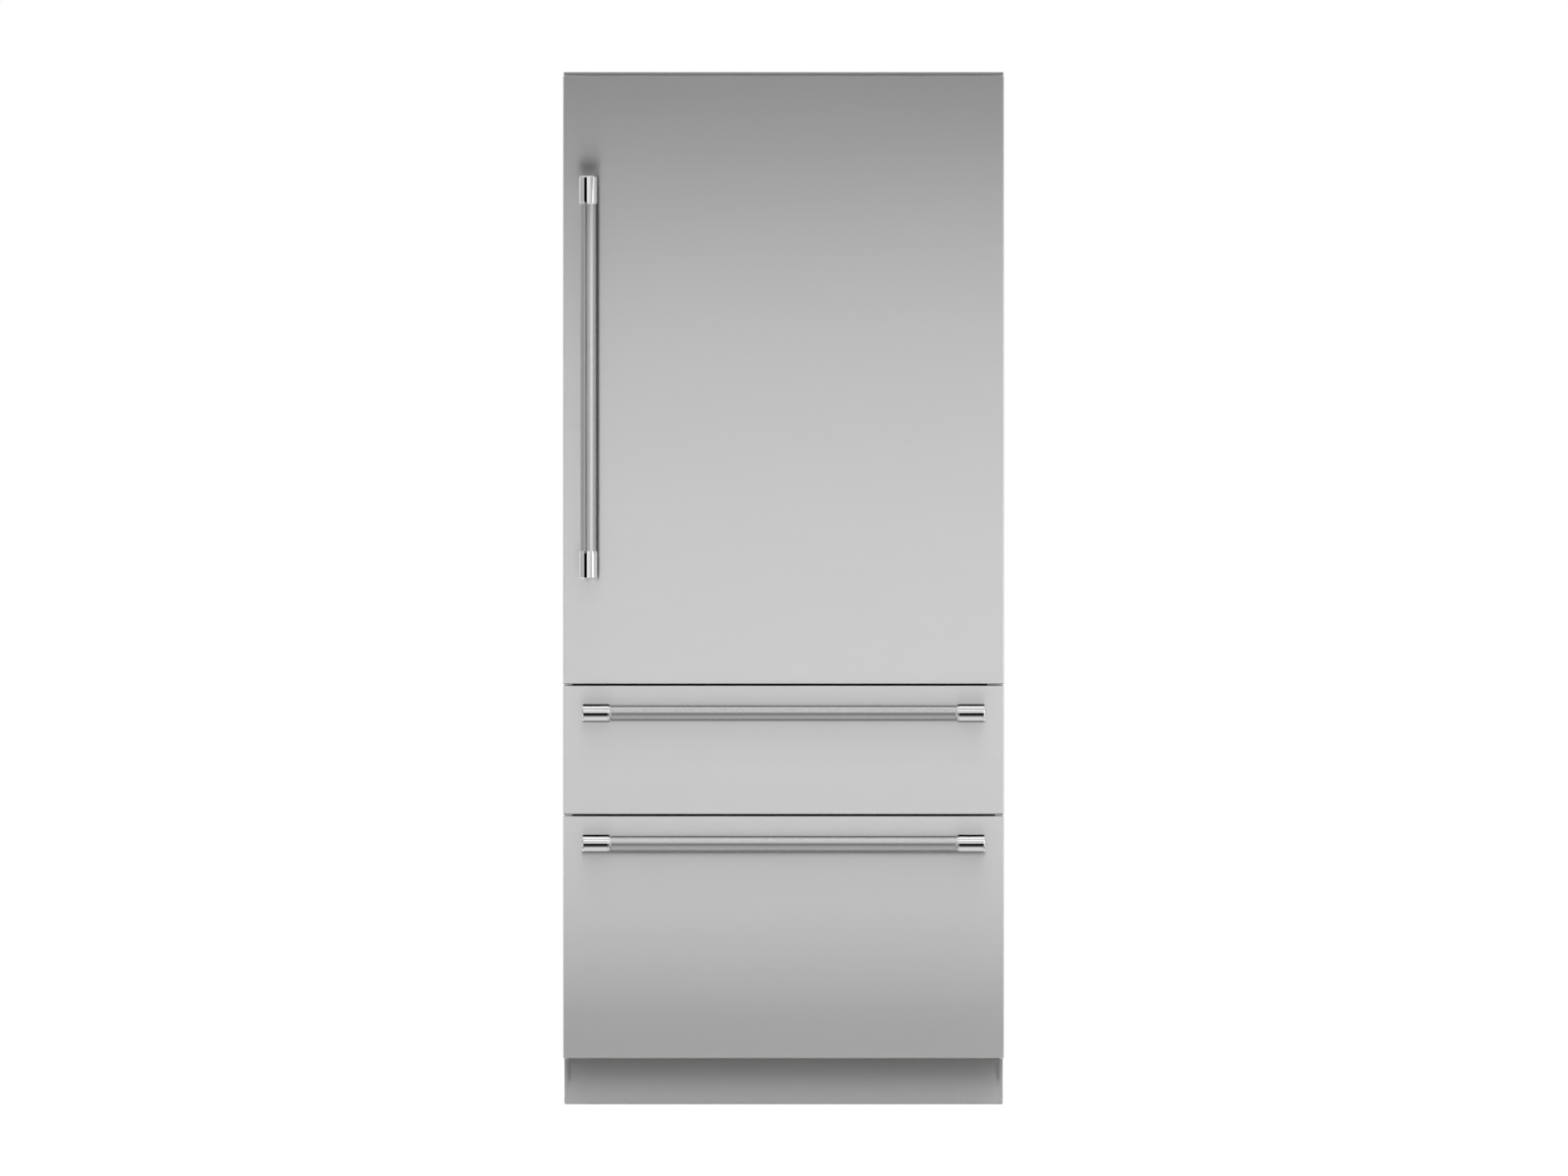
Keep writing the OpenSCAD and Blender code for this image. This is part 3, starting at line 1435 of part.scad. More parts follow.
// Shallow tray that slides on the lower bin's rim
module freezer_tray() {
    z1 = lower_bin_z + lower_bin_h + seat_gap;
    lip = 3;
    x = bin_x - bin_wall - 1.5;
    y0 = bin_y0 + bin_wall + 2;
    y1 = y0 + tray_depth;
    w = bin_wall;
    color("white") difference() {
        union() {
            translate([0, 0, z1 + lip - tray_h]) linear_extrude(tray_h) rounded([-x, y0], [x, y1], bin_r);
            translate([0, 0, z1]) linear_extrude(lip) rounded([-bin_x - 2, y0], [bin_x + 2, y1], 8);
        }
        translate([0, 0, z1 + lip - tray_h + w]) linear_extrude(tray_h)
            rounded([-x + w, y0 + w], [x - w, y1 - w], bin_r - w);
    }
}

// ---------- Nodes ----------

outer_case();
insulation();
fridge_liner();
freezer_liner();
front_frame();
top_trim();
base_frame();
toe_kick();
machine_cover();
compressor();
condenser();
condenser_fan_frame();
shelf_tracks();
shelf_frame(0);  // shelf_frame_1
shelf_frame(1);  // shelf_frame_2
shelf_frame(2);  // shelf_frame_3
shelf_glass();
crisper_frame();
control_panel();
air_tower();
hinge_upper();
hinge_lower();
runner_channels();
evaporator();
freezer_back_panel();
condenser_fan();
evaporator_fan();
roller(-leg_x);  // roller_left
roller(leg_x);  // roller_right
leg(-leg_x);  // leg_left
leg(leg_x);  // leg_right
mirror([1, 0, 0]) crisper();  // crisper_left
crisper();  // crisper_right
door_panel();
door_body();
door_gasket();
door_handle_bar();
door_handle_ends();
dairy_bin();
door_bin_middle();
door_bin_lower();
dairy_lid();
hinge_bushes();
upper_drawer_panel();
upper_drawer_body();
upper_drawer_gasket();
upper_handle_bar();
upper_handle_ends();
upper_bin();
carriage(upper_bin_z, upper_rail_z);  // upper_carriage
runner_slides(upper_rail_z);  // upper_runner_slides
lower_drawer_panel();
lower_drawer_body();
lower_drawer_gasket();
lower_handle_bar();
lower_handle_ends();
lower_bin();
carriage(lower_step_z, lower_rail_z);  // lower_carriage
runner_slides(lower_rail_z);  // lower_runner_slides
freezer_tray();
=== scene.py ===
"""Looks, trim and studio for a built-in refrigerator with one door above two freezer drawers.

Lengths are in metres: x runs across, the fronts face towards -y and z is up. Colours are
linear.
"""
import math

import bmesh
import bpy
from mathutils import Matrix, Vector


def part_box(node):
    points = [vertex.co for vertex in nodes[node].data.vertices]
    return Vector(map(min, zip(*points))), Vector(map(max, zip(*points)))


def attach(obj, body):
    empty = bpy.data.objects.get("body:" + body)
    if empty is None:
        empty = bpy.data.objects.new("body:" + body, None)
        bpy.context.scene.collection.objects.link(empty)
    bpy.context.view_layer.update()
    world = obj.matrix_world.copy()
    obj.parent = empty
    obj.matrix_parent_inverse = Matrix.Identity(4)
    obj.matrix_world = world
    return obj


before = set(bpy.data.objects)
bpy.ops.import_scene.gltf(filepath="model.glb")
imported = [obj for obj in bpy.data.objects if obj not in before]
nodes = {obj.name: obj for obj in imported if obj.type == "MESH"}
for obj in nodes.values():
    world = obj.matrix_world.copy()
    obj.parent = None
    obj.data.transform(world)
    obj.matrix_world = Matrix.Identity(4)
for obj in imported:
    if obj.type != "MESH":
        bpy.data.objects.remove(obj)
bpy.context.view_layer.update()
scene = bpy.context.scene


# ---------------------------------------------------------------- materials

EVEN = (1.0, 1.0, 1.0)                        # a noise that isn't stretched
FACTOR, COLOR_A, COLOR_B, MIXED = 0, 6, 7, 2  # sockets of the mix node when it mixes colours
TIGHT, WIDE = 0.0012, 0.0015                  # how far an edge mask reaches from an edge: a painted highlight on metal, rubbed wear on paint, plastic and glass
EDGE_COSINE, FLAT_COSINE = 0.65, 0.995        # rounded normal to true one, on an edge and on a flat


def grey(value):
    return (value, value, value)


def tint(color, factor, lift=0.0):
    """The colour scaled and lifted, with nothing over 1."""
    return tuple(min(1.0, c * factor + lift) for c in color)


class Graph:
    """A material's node tree, with short ways to add the nodes that are used here."""

    def __init__(self, name, color, metallic, roughness):
        self.material = bpy.data.materials.new(name)
        self.material.use_nodes = True
        self.material.diffuse_color = (*color, 1.0)
        self.tree = self.material.node_tree
        self.shader = self.tree.nodes["Principled BSDF"]
        self.shade(**{"Base Color": (*color, 1.0), "Metallic": metallic, "Roughness": roughness})

    def set(self, node, socket, value):
        """Links an output to the socket, or sets the socket's own value."""
        if isinstance(value, bpy.types.NodeSocket):
            self.tree.links.new(value, node.inputs[socket])
        else:
            node.inputs[socket].default_value = value

    def shade(self, **values):
        for socket, value in values.items():
            self.set(self.shader, socket, value)

    def surface(self, color, roughness):
        self.shade(**{"Base Color": color, "Roughness": roughness})

    def node(self, kind, inputs=None, **settings):
        made = self.tree.nodes.new(kind)
        for key, value in settings.items():
            setattr(made, key, value)
        for socket, value in (inputs or {}).items():
            self.set(made, socket, value)
        return made

    def place(self, scale):
        """Object coordinates, stretched: a node's object sits at the origin, so these are metres."""
        coords = self.node("ShaderNodeTexCoord").outputs["Object"]
        mapping = self.node("ShaderNodeMapping", {"Vector": coords, "Scale": scale})
        return mapping.outputs["Vector"]

    def noise(self, scale, detail, rough, stretch=EVEN, warp=0.0):
        """Noise around 0.5, with a grain of about 1 / (scale * stretch) metres."""
        made = self.node("ShaderNodeTexNoise", {
            "Vector": self.place(stretch), "Scale": scale, "Detail": detail,
            "Roughness": rough, "Distortion": warp})
        return made.outputs["Fac"]

    def cells(self, scale):
        made = self.node("ShaderNodeTexVoronoi", {"Vector": self.place(EVEN), "Scale": scale})
        return made.outputs["Distance"]

    def spread(self, value, low, high, start=0.25, end=0.75):
        """A value between start and end becomes one between low and high."""
        made = self.node("ShaderNodeMapRange", {
            "Value": value, "From Min": start, "From Max": end, "To Min": low, "To Max": high})
        return made.outputs["Result"]

    def maths(self, kind, a, b):
        return self.node("ShaderNodeMath", {0: a, 1: b}, operation=kind).outputs[0]

    def add(self, a, b):
        return self.maths("ADD", a, b)

    def times(self, a, b):
        return self.maths("MULTIPLY", a, b)

    def minus(self, a, b):
        return self.maths("SUBTRACT", a, b)

    def blend(self, factor, a, b):
        """From a to b as the factor goes from 0 to 1; each is a colour or an output."""
        a, b = (v if isinstance(v, bpy.types.NodeSocket) else (*v, 1.0) for v in (a, b))
        made = self.node("ShaderNodeMix", {FACTOR: factor, COLOR_A: a, COLOR_B: b}, data_type="RGBA")
        return made.outputs[MIXED]

    def bump(self, height, depth, strength):
        made = self.node("ShaderNodeBump", {"Height": height, "Distance": depth, "Strength": strength})
        self.shade(Normal=made.outputs["Normal"])

    def edges(self, radius):
        """1 near an edge and 0 on a flat: the rounded normal set against the true one."""
        rounded = self.node("ShaderNodeBevel", {"Radius": radius}, samples=4).outputs["Normal"]
        true = self.node("ShaderNodeNewGeometry").outputs["Normal"]
        dot = self.node("ShaderNodeVectorMath", {0: rounded, 1: true}, operation="DOT_PRODUCT")
        return self.spread(dot.outputs["Value"], 1.0, 0.0, EDGE_COSINE, FLAT_COSINE)

    def across(self, direction, strength):
        """Reflections spread along the direction, square to the lines of the brushing."""
        tangent = self.node("ShaderNodeCombineXYZ", dict(zip("XYZ", direction)))
        self.shade(Tangent=tangent.outputs["Vector"], Anisotropic=strength)

    def around(self, axis, strength):
        """Highlights spread round a bar whose length runs along the axis."""
        normal = self.node("ShaderNodeNewGeometry").outputs["Normal"]
        cross = self.node("ShaderNodeVectorMath", {0: normal, 1: axis}, operation="CROSS_PRODUCT")
        self.shade(Tangent=cross.outputs["Vector"], Anisotropic=strength)


def brushed_steel(name, color, roughness):
    """Steel with fine straight brushing: the grain is long in x and close together in z."""
    g = Graph(name, color, 1.0, roughness)
    fine = g.noise(1.0, 4.0, 0.65, (3.0, 60.0, 900.0))
    coarse = g.noise(1.0, 2.0, 0.5, (1.2, 8.0, 108.0))
    cloud = g.noise(1.6, 2.0, 0.5)
    # paler and glossier edges: a painted highlight where rounded edges would catch light
    edge_highlight = g.edges(WIDE)
    grain = g.add(g.spread(fine, -0.012, 0.012), g.spread(coarse, -0.0048, 0.0048))
    tone = g.spread(g.add(grain, g.spread(cloud, -0.006, 0.006)), 0.0, 1.0, -0.1, 0.1)
    mixed = g.blend(tone, tint(color, 0.90), tint(color, 1.10))
    rough = g.add(g.spread(fine, roughness - 0.03, roughness + 0.03), g.spread(cloud, -0.01, 0.01))
    g.surface(g.blend(g.times(edge_highlight, 0.35), mixed, grey(0.78)), g.minus(rough, g.times(edge_highlight, 0.08)))
    g.bump(fine, 0.00004, 0.35)
    g.across((0.02, 0.03, 1.0), 0.8)
    return g.material


def satin_metal(name, color, roughness, grain=300.0, depth=0.00002, axis=None):
    """Satin or blasted metal: an even fine grain, with paler edges that are a painted highlight."""
    g = Graph(name, color, 1.0, roughness)
    fine = g.noise(1.0, 3.0, 0.6, (grain,) * 3)
    cloud = g.noise(5.0, 3.0, 0.55)
    # paler edges: a painted highlight
    edge_highlight = g.edges(TIGHT)
    tone = g.add(g.spread(fine, 0.25, 0.75), g.spread(cloud, -0.15, 0.15))
    mixed = g.blend(tone, tint(color, 0.94), tint(color, 1.05))
    rough = g.add(g.spread(fine, roughness - 0.03, roughness + 0.04), g.spread(cloud, -0.02, 0.03))
    g.surface(g.blend(g.times(edge_highlight, 0.4), mixed, grey(0.8)), rough)
    g.bump(fine, depth, 0.4)
    if axis:
        g.around(axis, 0.7)
    return g.material


def painted(name, color, roughness, grain=900.0, depth=0.00006, coat=0.0, worn_color=None):
    """Paint or enamel: a slight orange peel, soft mottling, and thinner paint at the edges."""
    g = Graph(name, color, 0.0, roughness)
    peel = g.noise(grain, 2.0, 0.5)
    cloud = g.noise(4.0, 4.0, 0.6)
    rubbed = g.edges(WIDE)
    tone = g.add(g.spread(cloud, 0.1, 0.9), g.spread(peel, -0.15, 0.15))
    mixed = g.blend(tone, tint(color, 0.97), tint(color, 1.03))
    rough = g.add(g.spread(cloud, roughness - 0.04, roughness + 0.05), g.spread(peel, -0.02, 0.02))
    g.surface(g.blend(g.times(rubbed, 0.3), mixed, worn_color or tint(color, 1.5, 0.03)), rough)
    g.shade(**{"Coat Weight": coat, "Coat Roughness": 0.12})
    g.bump(peel, depth, 0.5)
    return g.material


def moulded(name, color, roughness):
    """Moulded plastic: a fine even texture, slight flow marks and glossier rubbed edges."""
    g = Graph(name, color, 0.0, roughness)
    fine = g.noise(1400.0, 2.0, 0.6)
    flow = g.noise(3.0, 3.0, 0.5, (1.0, 1.0, 2.5), 0.6)
    rubbed = g.edges(WIDE)
    tone = g.add(g.spread(flow, 0.2, 0.8), g.spread(fine, -0.1, 0.1))
    mixed = g.blend(tone, tint(color, 0.965), tint(color, 1.03))
    rough = g.add(g.spread(fine, roughness - 0.03, roughness + 0.04), g.spread(flow, -0.02, 0.03))
    g.surface(g.blend(g.times(rubbed, 0.15), mixed, tint(color, 1.15, 0.02)),
              g.minus(rough, g.times(rubbed, 0.08)))
    g.bump(fine, 0.00005, 0.5)
    return g.material


def clear(name, color, roughness, ior):
    """Glass or clear plastic, with a faint waviness and slightly frosted rubbed edges."""
    g = Graph(name, color, 0.0, roughness)
    wave = g.noise(14.0, 1.0, 0.4)
    fine = g.noise(700.0, 2.0, 0.5)
    rubbed = g.edges(TIGHT)
    mixed = g.blend(wave, color, tint(color, 0.97))
    rough = g.add(g.spread(fine, roughness * 0.7, roughness * 1.4), g.times(rubbed, 0.12))
    g.surface(g.blend(g.times(rubbed, 0.5), mixed, tint(color, 0.86)), rough)
    g.shade(**{"Transmission Weight": 1.0, "IOR": ior})
    g.bump(wave, 0.00002, 0.3)
    return g.material


def foam(name, color):
    """Rigid foam: small uneven cells under a skin."""
    g = Graph(name, color, 0.0, 0.9)
    cell = g.cells(260.0)
    cloud = g.noise(9.0, 4.0, 0.6)
    tone = g.add(g.spread(cell, 0.0, 0.6, 0.0, 0.8), g.spread(cloud, 0.0, 0.4))
    g.surface(g.blend(tone, tint(color, 0.82), color), g.spread(cell, 0.95, 0.8, 0.0, 0.8))
    g.bump(cell, 0.0008, 0.6)
    return g.material


def rubber(name, color):
    """Soft gasket: matte, with a fine even grain and a pale bloom."""
    g = Graph(name, color, 0.0, 0.62)
    fine = g.noise(900.0, 3.0, 0.6)
    bloom = g.noise(24.0, 4.0, 0.6)
    g.surface(g.blend(g.spread(bloom, 0.0, 0.5), color, tint(color, 1.25, 0.02)),
              g.add(g.spread(fine, 0.55, 0.68), g.spread(bloom, -0.04, 0.04)))
    g.shade(**{"Specular IOR Level": 0.35})
    g.bump(fine, 0.00008, 0.5)
    return g.material


def plated(name, color, roughness):
    """Polished plating: a mirror with very faint polishing marks and a slight unevenness."""
    g = Graph(name, color, 1.0, roughness)
    fine = g.noise(1.0, 3.0, 0.6, (420.0,) * 3)
    cloud = g.noise(12.0, 3.0, 0.5)
    g.surface(g.blend(g.spread(cloud, 0.2, 0.8), tint(color, 0.97), tint(color, 1.02)),
              g.add(g.spread(fine, roughness * 0.8, roughness * 1.3), g.spread(cloud, -0.01, 0.015)))
    g.bump(fine, 0.000004, 0.2)
    return g.material


def lit(look, color, strength):
    """The same look, with a light of its own."""
    shader = look.node_tree.nodes["Principled BSDF"]
    shader.inputs["Emission Color"].default_value = (*color, 1.0)
    shader.inputs["Emission Strength"].default_value = strength
    return look


ALONG_X, ALONG_Z = (1.0, 0.0, 0.0), (0.0, 0.0, 1.0)
BAR_GRAIN, BAR_DEPTH = 2600.0, 0.000002

looks = {
    "stainless": brushed_steel("front_steel", grey(0.57), 0.40),
    "stainless_trim": brushed_steel("trim_steel", grey(0.47), 0.405),
    "satin_stainless": satin_metal("handle_satin", grey(0.46), 0.24, BAR_GRAIN, BAR_DEPTH, ALONG_X),
    "polished_metal": plated("handle_plating", grey(0.62), 0.10),
    "case_steel": painted("case_paint", (0.52, 0.52, 0.53), 0.42),
    "foam": foam("foam", (0.84, 0.76, 0.52)),
    "white_plastic": moulded("liner_plastic", grey(0.86), 0.32),
    "base_steel": painted("base_paint", (0.16, 0.16, 0.165), 0.45, worn_color=grey(0.35)),
    "black_enamel": painted("black_enamel", (0.02, 0.02, 0.021), 0.22, 500.0, 0.00008, 0.4, grey(0.08)),
    "satin_metal": satin_metal("satin_aluminium", (0.74, 0.75, 0.76), 0.30),
    "clear_glass": clear("shelf_glass_look", (0.965, 0.99, 0.98), 0.02, 1.45),
    "black_plastic": moulded("black_plastic", (0.028, 0.028, 0.03), 0.38),
    "hinge_steel": satin_metal("hinge_plate", (0.52, 0.52, 0.53), 0.34),
    "runner_steel": satin_metal("runner_zinc", (0.62, 0.63, 0.65), 0.30),
    "aluminium_fins": satin_metal("fin_aluminium", (0.74, 0.75, 0.77), 0.38),
    "roller_plastic": moulded("roller_plastic", (0.06, 0.06, 0.062), 0.5),
    "clear_plastic": clear("bin_plastic", (0.975, 0.985, 0.99), 0.04, 1.40),
    "gasket_rubber": rubber("gasket_rubber", (0.30, 0.30, 0.31)),
}
for node in nodes.values():
    for place in node.material_slots:
        name = place.material.name.split(".")[0]
        if name in looks:
            place.material = looks[name]
        else:
            print("no look for", node.name, place.material.name)

# the door's bar stands upright, so its highlights spread the other way; its colour is darker than the
# drawers' bars, which is painted shade
nodes["door_handle_bar"].material_slots[0].material = satin_metal(
    "door_handle_satin_shaded", grey(0.385), 0.26, BAR_GRAIN, BAR_DEPTH, ALONG_Z)

# clear pieces cast no shadow, which would be as dark as an opaque one's
for name in ("shelf_glass", "crisper_left", "crisper_right", "dairy_bin", "dairy_lid",
             "door_bin_middle", "door_bin_lower"):
    nodes[name].visible_shadow = False


# ---------------------------------------------------------------- pieces

SIDES = ((-1, "left"), (1, "right"))


def solid(name, body, look, shape, edge=0.0):
    """A closed mesh of (vertices, faces), with its edges rounded, that rides on its body."""
    vertices, faces = shape
    mesh = bpy.data.meshes.new(name)
    bm = bmesh.new()
    made = [bm.verts.new(v) for v in vertices]
    for face in faces:
        bm.faces.new([made[i] for i in face])
    bmesh.ops.recalc_face_normals(bm, faces=bm.faces)
    bm.to_mesh(mesh)
    bm.free()
    for face in mesh.polygons:
        face.use_smooth = True
    mesh.materials.append(look)
    piece = bpy.data.objects.new(name, mesh)
    scene.collection.objects.link(piece)
    if edge:
        soft = piece.modifiers.new("edges", "BEVEL")
        soft.width = edge
        soft.segments = 2
        soft.limit_method = "ANGLE"
        soft.angle_limit = math.radians(40.0)
        soft.harden_normals = True
    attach(piece, body)


def skin(rings, closed=False):
    """Vertices and faces of a tube through rings of as many points each; open tubes get end faces."""
    n = len(rings[0])
    vertices = [v for ring in rings for v in ring]
    faces = []
    for i in range(len(rings) if closed else len(rings) - 1):
        a, b = i * n, (i + 1) % len(rings) * n
        faces += [(a + k, a + (k + 1) % n, b + (k + 1) % n, b + k) for k in range(n)]
    if not closed:
        faces += [tuple(range(n)), tuple(range(len(vertices) - n, len(vertices)))[::-1]]
    return vertices, faces


def block(x0, x1, y0, y1, z0, z1):
    profile = ((y0, z0), (y1, z0), (y1, z1), (y0, z1))
    return skin([[(x, y, z) for y, z in profile] for x in sorted((x0, x1))])


def facing(points, y0, y1):
    """A plate that faces the front, with an (x, z) outline."""
    return skin([[(x, y, z) for x, z in points] for y in (y0, y1)])


def circle(cx, cy, r, steps=20):
    angles = [math.tau * k / steps for k in range(steps)]
    return [(cx + r * math.cos(a), cy + r * math.sin(a)) for a in angles]


def outline(x0, x1, y0, y1, r, steps=6):
    """A rounded rectangle, anticlockwise."""
    corners = ((x1 - r, y1 - r, 0), (x0 + r, y1 - r, 90), (x0 + r, y0 + r, 180), (x1 - r, y0 + r, 270))
    points = []
    for cx, cy, start in corners:
        for i in range(steps + 1):
            a = math.radians(start + 90.0 * i / steps)
            points.append((cx + r * math.cos(a), cy + r * math.sin(a)))
    return points


# black strips on the front frame, behind the gaps between the fronts: painted shade, so that the gaps
# show dark
gap_shade_and_dark_plastic = moulded("gap_shade_and_dark_plastic", (0.012, 0.012, 0.013), 0.55)
frame_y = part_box("front_frame")[0][1]
strip_half, strip_thick, strip_high = 0.436, 0.0012, 0.020
for name, z0 in (("painted_gap_shade_upper", 0.8555), ("painted_gap_shade_lower", 0.587)):
    solid(name, "cabinet", gap_shade_and_dark_plastic,
          block(-strip_half, strip_half, frame_y - strip_thick, frame_y, z0, z0 + strip_high), 0.0005)

# steel covers on the case's folded edges, beside the toe kick
case_y = frame_y + 0.013
cover_in, cover_out, cover_low, cover_high, cover_thick = 0.4466, 0.4518, 0.0025, 0.0950, 0.0006
for side, name in SIDES:
    cover = block(side * cover_in, side * cover_out, case_y - cover_thick, case_y, cover_low, cover_high)
    solid("case_edge_" + name, "cabinet", looks["stainless_trim"], cover, 0.0002)

# a thin skirt that closes the gap under the toe kick
kick_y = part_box("toe_kick")[0][1]
skirt_half, skirt_near, skirt_far, skirt_low, skirt_high = 0.4503, 0.0002, 0.0014, 0.0003, 0.0019
skirt = block(-skirt_half, skirt_half, kick_y + skirt_near, kick_y + skirt_far, skirt_low, skirt_high)
solid("toe_skirt", "cabinet", painted("skirt_paint", grey(0.30), 0.5), skirt, 0.0002)

# satin bands that cap the rims of the two open door bins, round their front corners
bright_trim = satin_metal("bin_trim", (0.70, 0.705, 0.71), 0.27, 900.0, 0.000004)
rim_start, rim_r, rim_steps = -0.160, 0.020, 8
wall = 0.003
rim_section = (  # (out from the wall, up from the rim)
    (0.0, -0.0125), (0.0007, -0.0130), (0.0013, -0.0124), (0.0013, 0.0001), (0.0009, 0.0009),
    (0.0, 0.0012), (-wall, 0.0012), (-wall - 0.0009, 0.0009), (-wall - 0.0013, 0.0001),
    (-wall - 0.0013, -0.0030), (-wall, -0.0030), (-wall, 0.0), (0.0, 0.0))
for name, node in (("bin_trim_middle", "door_bin_middle"), ("bin_trim_lower", "door_bin_lower")):
    x, y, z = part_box(node)[1]
    path = [(-x, rim_start, -1.0, 0.0), (-x, y - rim_r, -1.0, 0.0)]  # (x, y, outward x, outward y)
    for cx, first in ((-x + rim_r, 180.0), (x - rim_r, 90.0)):
        for i in range(1, rim_steps + 1):
            a = math.radians(first - 90.0 * i / rim_steps)
            out_x, out_y = math.cos(a), math.sin(a)
            path.append((cx + rim_r * out_x, y - rim_r + rim_r * out_y, out_x, out_y))
    path.append((x, rim_start, 1.0, 0.0))
    if y - rim_r < rim_start:
        # the lower bin is too shallow for straight sides; its last point doubles back 0.5 mm
        path = path[1:]
    rings = [[(px + nx * out, py + ny * out, z + up) for out, up in rim_section]
             for px, py, nx, ny in path]
    solid(name, "door", bright_trim, skin(rings))

# satin bands across the crispers' fronts, under their grips
band_in, band_out, band_low, band_high, band_thick = 0.0125, 0.384, 1.0640, 1.0735, 0.0013
for side, name in SIDES:
    body = "crisper_" + name
    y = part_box(body)[0][1]
    band = block(side * band_in, side * band_out, y - band_thick, y, band_low, band_high)
    solid("crisper_band_" + name, body, bright_trim, band, 0.0005)

# a humidity slide above each crisper: a dark slot with a ribbed knob and three dots
rail_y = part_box("crisper_frame")[0][1]
slide_x, slide_z = 0.19925, 1.1105
slot_half, slot_half_high, slot_lift = 0.036, 0.0026, 0.0004
knob_half, knob_half_high, knob_lift, knob_shift = 0.0095, 0.0052, 0.0022, 0.016
rib_first, rib_pitch, rib_count = -0.0065, 0.00325, 5
rib = ((-0.0009, 0.0023), (-0.0004, 0.0030), (0.0004, 0.0030), (0.0009, 0.0023))  # (along, out)
dot_first, dot_pitch, dot_radii = 0.0435, 0.0055, (0.0007, 0.0011, 0.0015)
knob_plastic = moulded("knob_plastic", (0.62, 0.63, 0.64), 0.35)
for side, name in SIDES:
    cx = side * slide_x
    track = outline(cx - slot_half, cx + slot_half,
                    slide_z - slot_half_high, slide_z + slot_half_high, 0.0025)
    solid("humidity_slot_" + name, "cabinet", gap_shade_and_dark_plastic,
          facing(track, rail_y, rail_y - slot_lift))
    knob = [(cx - knob_half, rail_y - slot_lift), (cx - knob_half, rail_y - knob_lift)]
    for i in range(rib_count):
        at = cx + rib_first + i * rib_pitch
        knob += [(at + along, rail_y - lift) for along, lift in rib]
    knob += [(cx + knob_half, rail_y - knob_lift), (cx + knob_half, rail_y - slot_lift)]
    solid("humidity_knob_" + name, "cabinet", knob_plastic,
          skin([[(px + side * knob_shift, py, z) for px, py in knob]
                for z in (slide_z - knob_half_high, slide_z + knob_half_high)]), 0.0003)
    for i, r in enumerate(dot_radii):
        dot = circle(cx + dot_first + i * dot_pitch, slide_z, r)
        solid(f"humidity_dot_{name}_{i + 1}", "cabinet", gap_shade_and_dark_plastic,
              facing(dot, rail_y + 0.0001, rail_y - 0.0002))

# control panel: a glass window with bars of light, and plain touch rings on each side
panel_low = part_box("control_panel")[0]
slant_y, slant_z = panel_low[1] + 0.007, panel_low[2] + 0.009
down = Vector((0.0, 14.0, -18.0)).normalized()
out = Vector((0.0, -18.0, -14.0)).normalized()


def slanted(u, v, lift):
    """A point on the panel's slanted face: across, down the slope and out from it."""
    return tuple(Vector((u, slant_y, slant_z)) + down * v + out * lift)


def on_slant(points, low, high):
    """A thin plate on the slanted face, between two lifts."""
    return skin([[slanted(u, v, lift) for u, v in points] for lift in (low, high)])


window_half, window_half_high = 0.040, 0.0075
mark_first, mark_pitch, mark_half, mark_half_high = -0.024, 0.012, 0.0038, 0.0009
ring_first, ring_pitch, ring_steps, touch_dot_r = 0.066, 0.030, 40, 0.0011
ring_section = ((0.0052, 0.0), (0.0052, 0.0004), (0.0045, 0.0004), (0.0045, 0.0))  # (radius, lift)
window_glass = painted("window_glass", (0.008, 0.009, 0.010), 0.06, 200.0, 0.000002, 1.0)
lit_mark = lit(moulded("lit_mark", (0.80, 0.86, 0.90), 0.4), (0.75, 0.88, 1.0), 0.5)
window = outline(-window_half, window_half, -window_half_high, window_half_high, 0.003)
solid("panel_window", "cabinet", window_glass, on_slant(window, -0.0003, 0.0007), 0.0003)
for i in range(5):
    u = mark_first + i * mark_pitch
    mark = outline(u - mark_half, u + mark_half, -mark_half_high, mark_half_high, 0.0008, 3)
    solid(f"panel_bar_{i + 1}", "cabinet", lit_mark, on_slant(mark, 0.0006, 0.0009))
for side in (-1, 1):
    for i in range(3):
        u = side * (ring_first + i * ring_pitch)
        number = i + 1 if side < 0 else i + 4
        angles = [math.tau * k / ring_steps for k in range(ring_steps)]
        ring = [[slanted(u + r * math.cos(a), r * math.sin(a), lift) for r, lift in ring_section]
                for a in angles]
        solid(f"touch_ring_{number}", "cabinet", bright_trim, skin(ring, True))
        solid(f"touch_dot_{number}", "cabinet", lit_mark,
              on_slant(circle(u, 0.0, touch_dot_r), -0.0002, 0.0004))

# a shallow pillow of a diffuser under the ceiling light
diffuser = lit(moulded("diffuser_plastic", (0.88, 0.88, 0.87), 0.35), (1.0, 0.98, 0.94), 0.45)
light_half, light_near, light_far, light_r = 0.184, 0.0055, 0.0435, 0.0125
rings = []
for inset, z in ((0.0, 2.0601), (0.0, 2.0590), (0.0008, 2.0580),
                 (0.0025, 2.0572), (0.006, 2.0566), (0.012, 2.0563)):
    edge = outline(-light_half + inset, light_half - inset,
                   light_near + inset, light_far - inset, light_r - inset * 0.9)
    rings.append([(px, py, z) for px, py in edge])
solid("light_diffuser", "cabinet", diffuser, skin(rings))


# ---------------------------------------------------------------- stage

BLACK = grey(0.0)
front = -0.2715  # y of the fronts: stage distances are measured from here, towards the camera


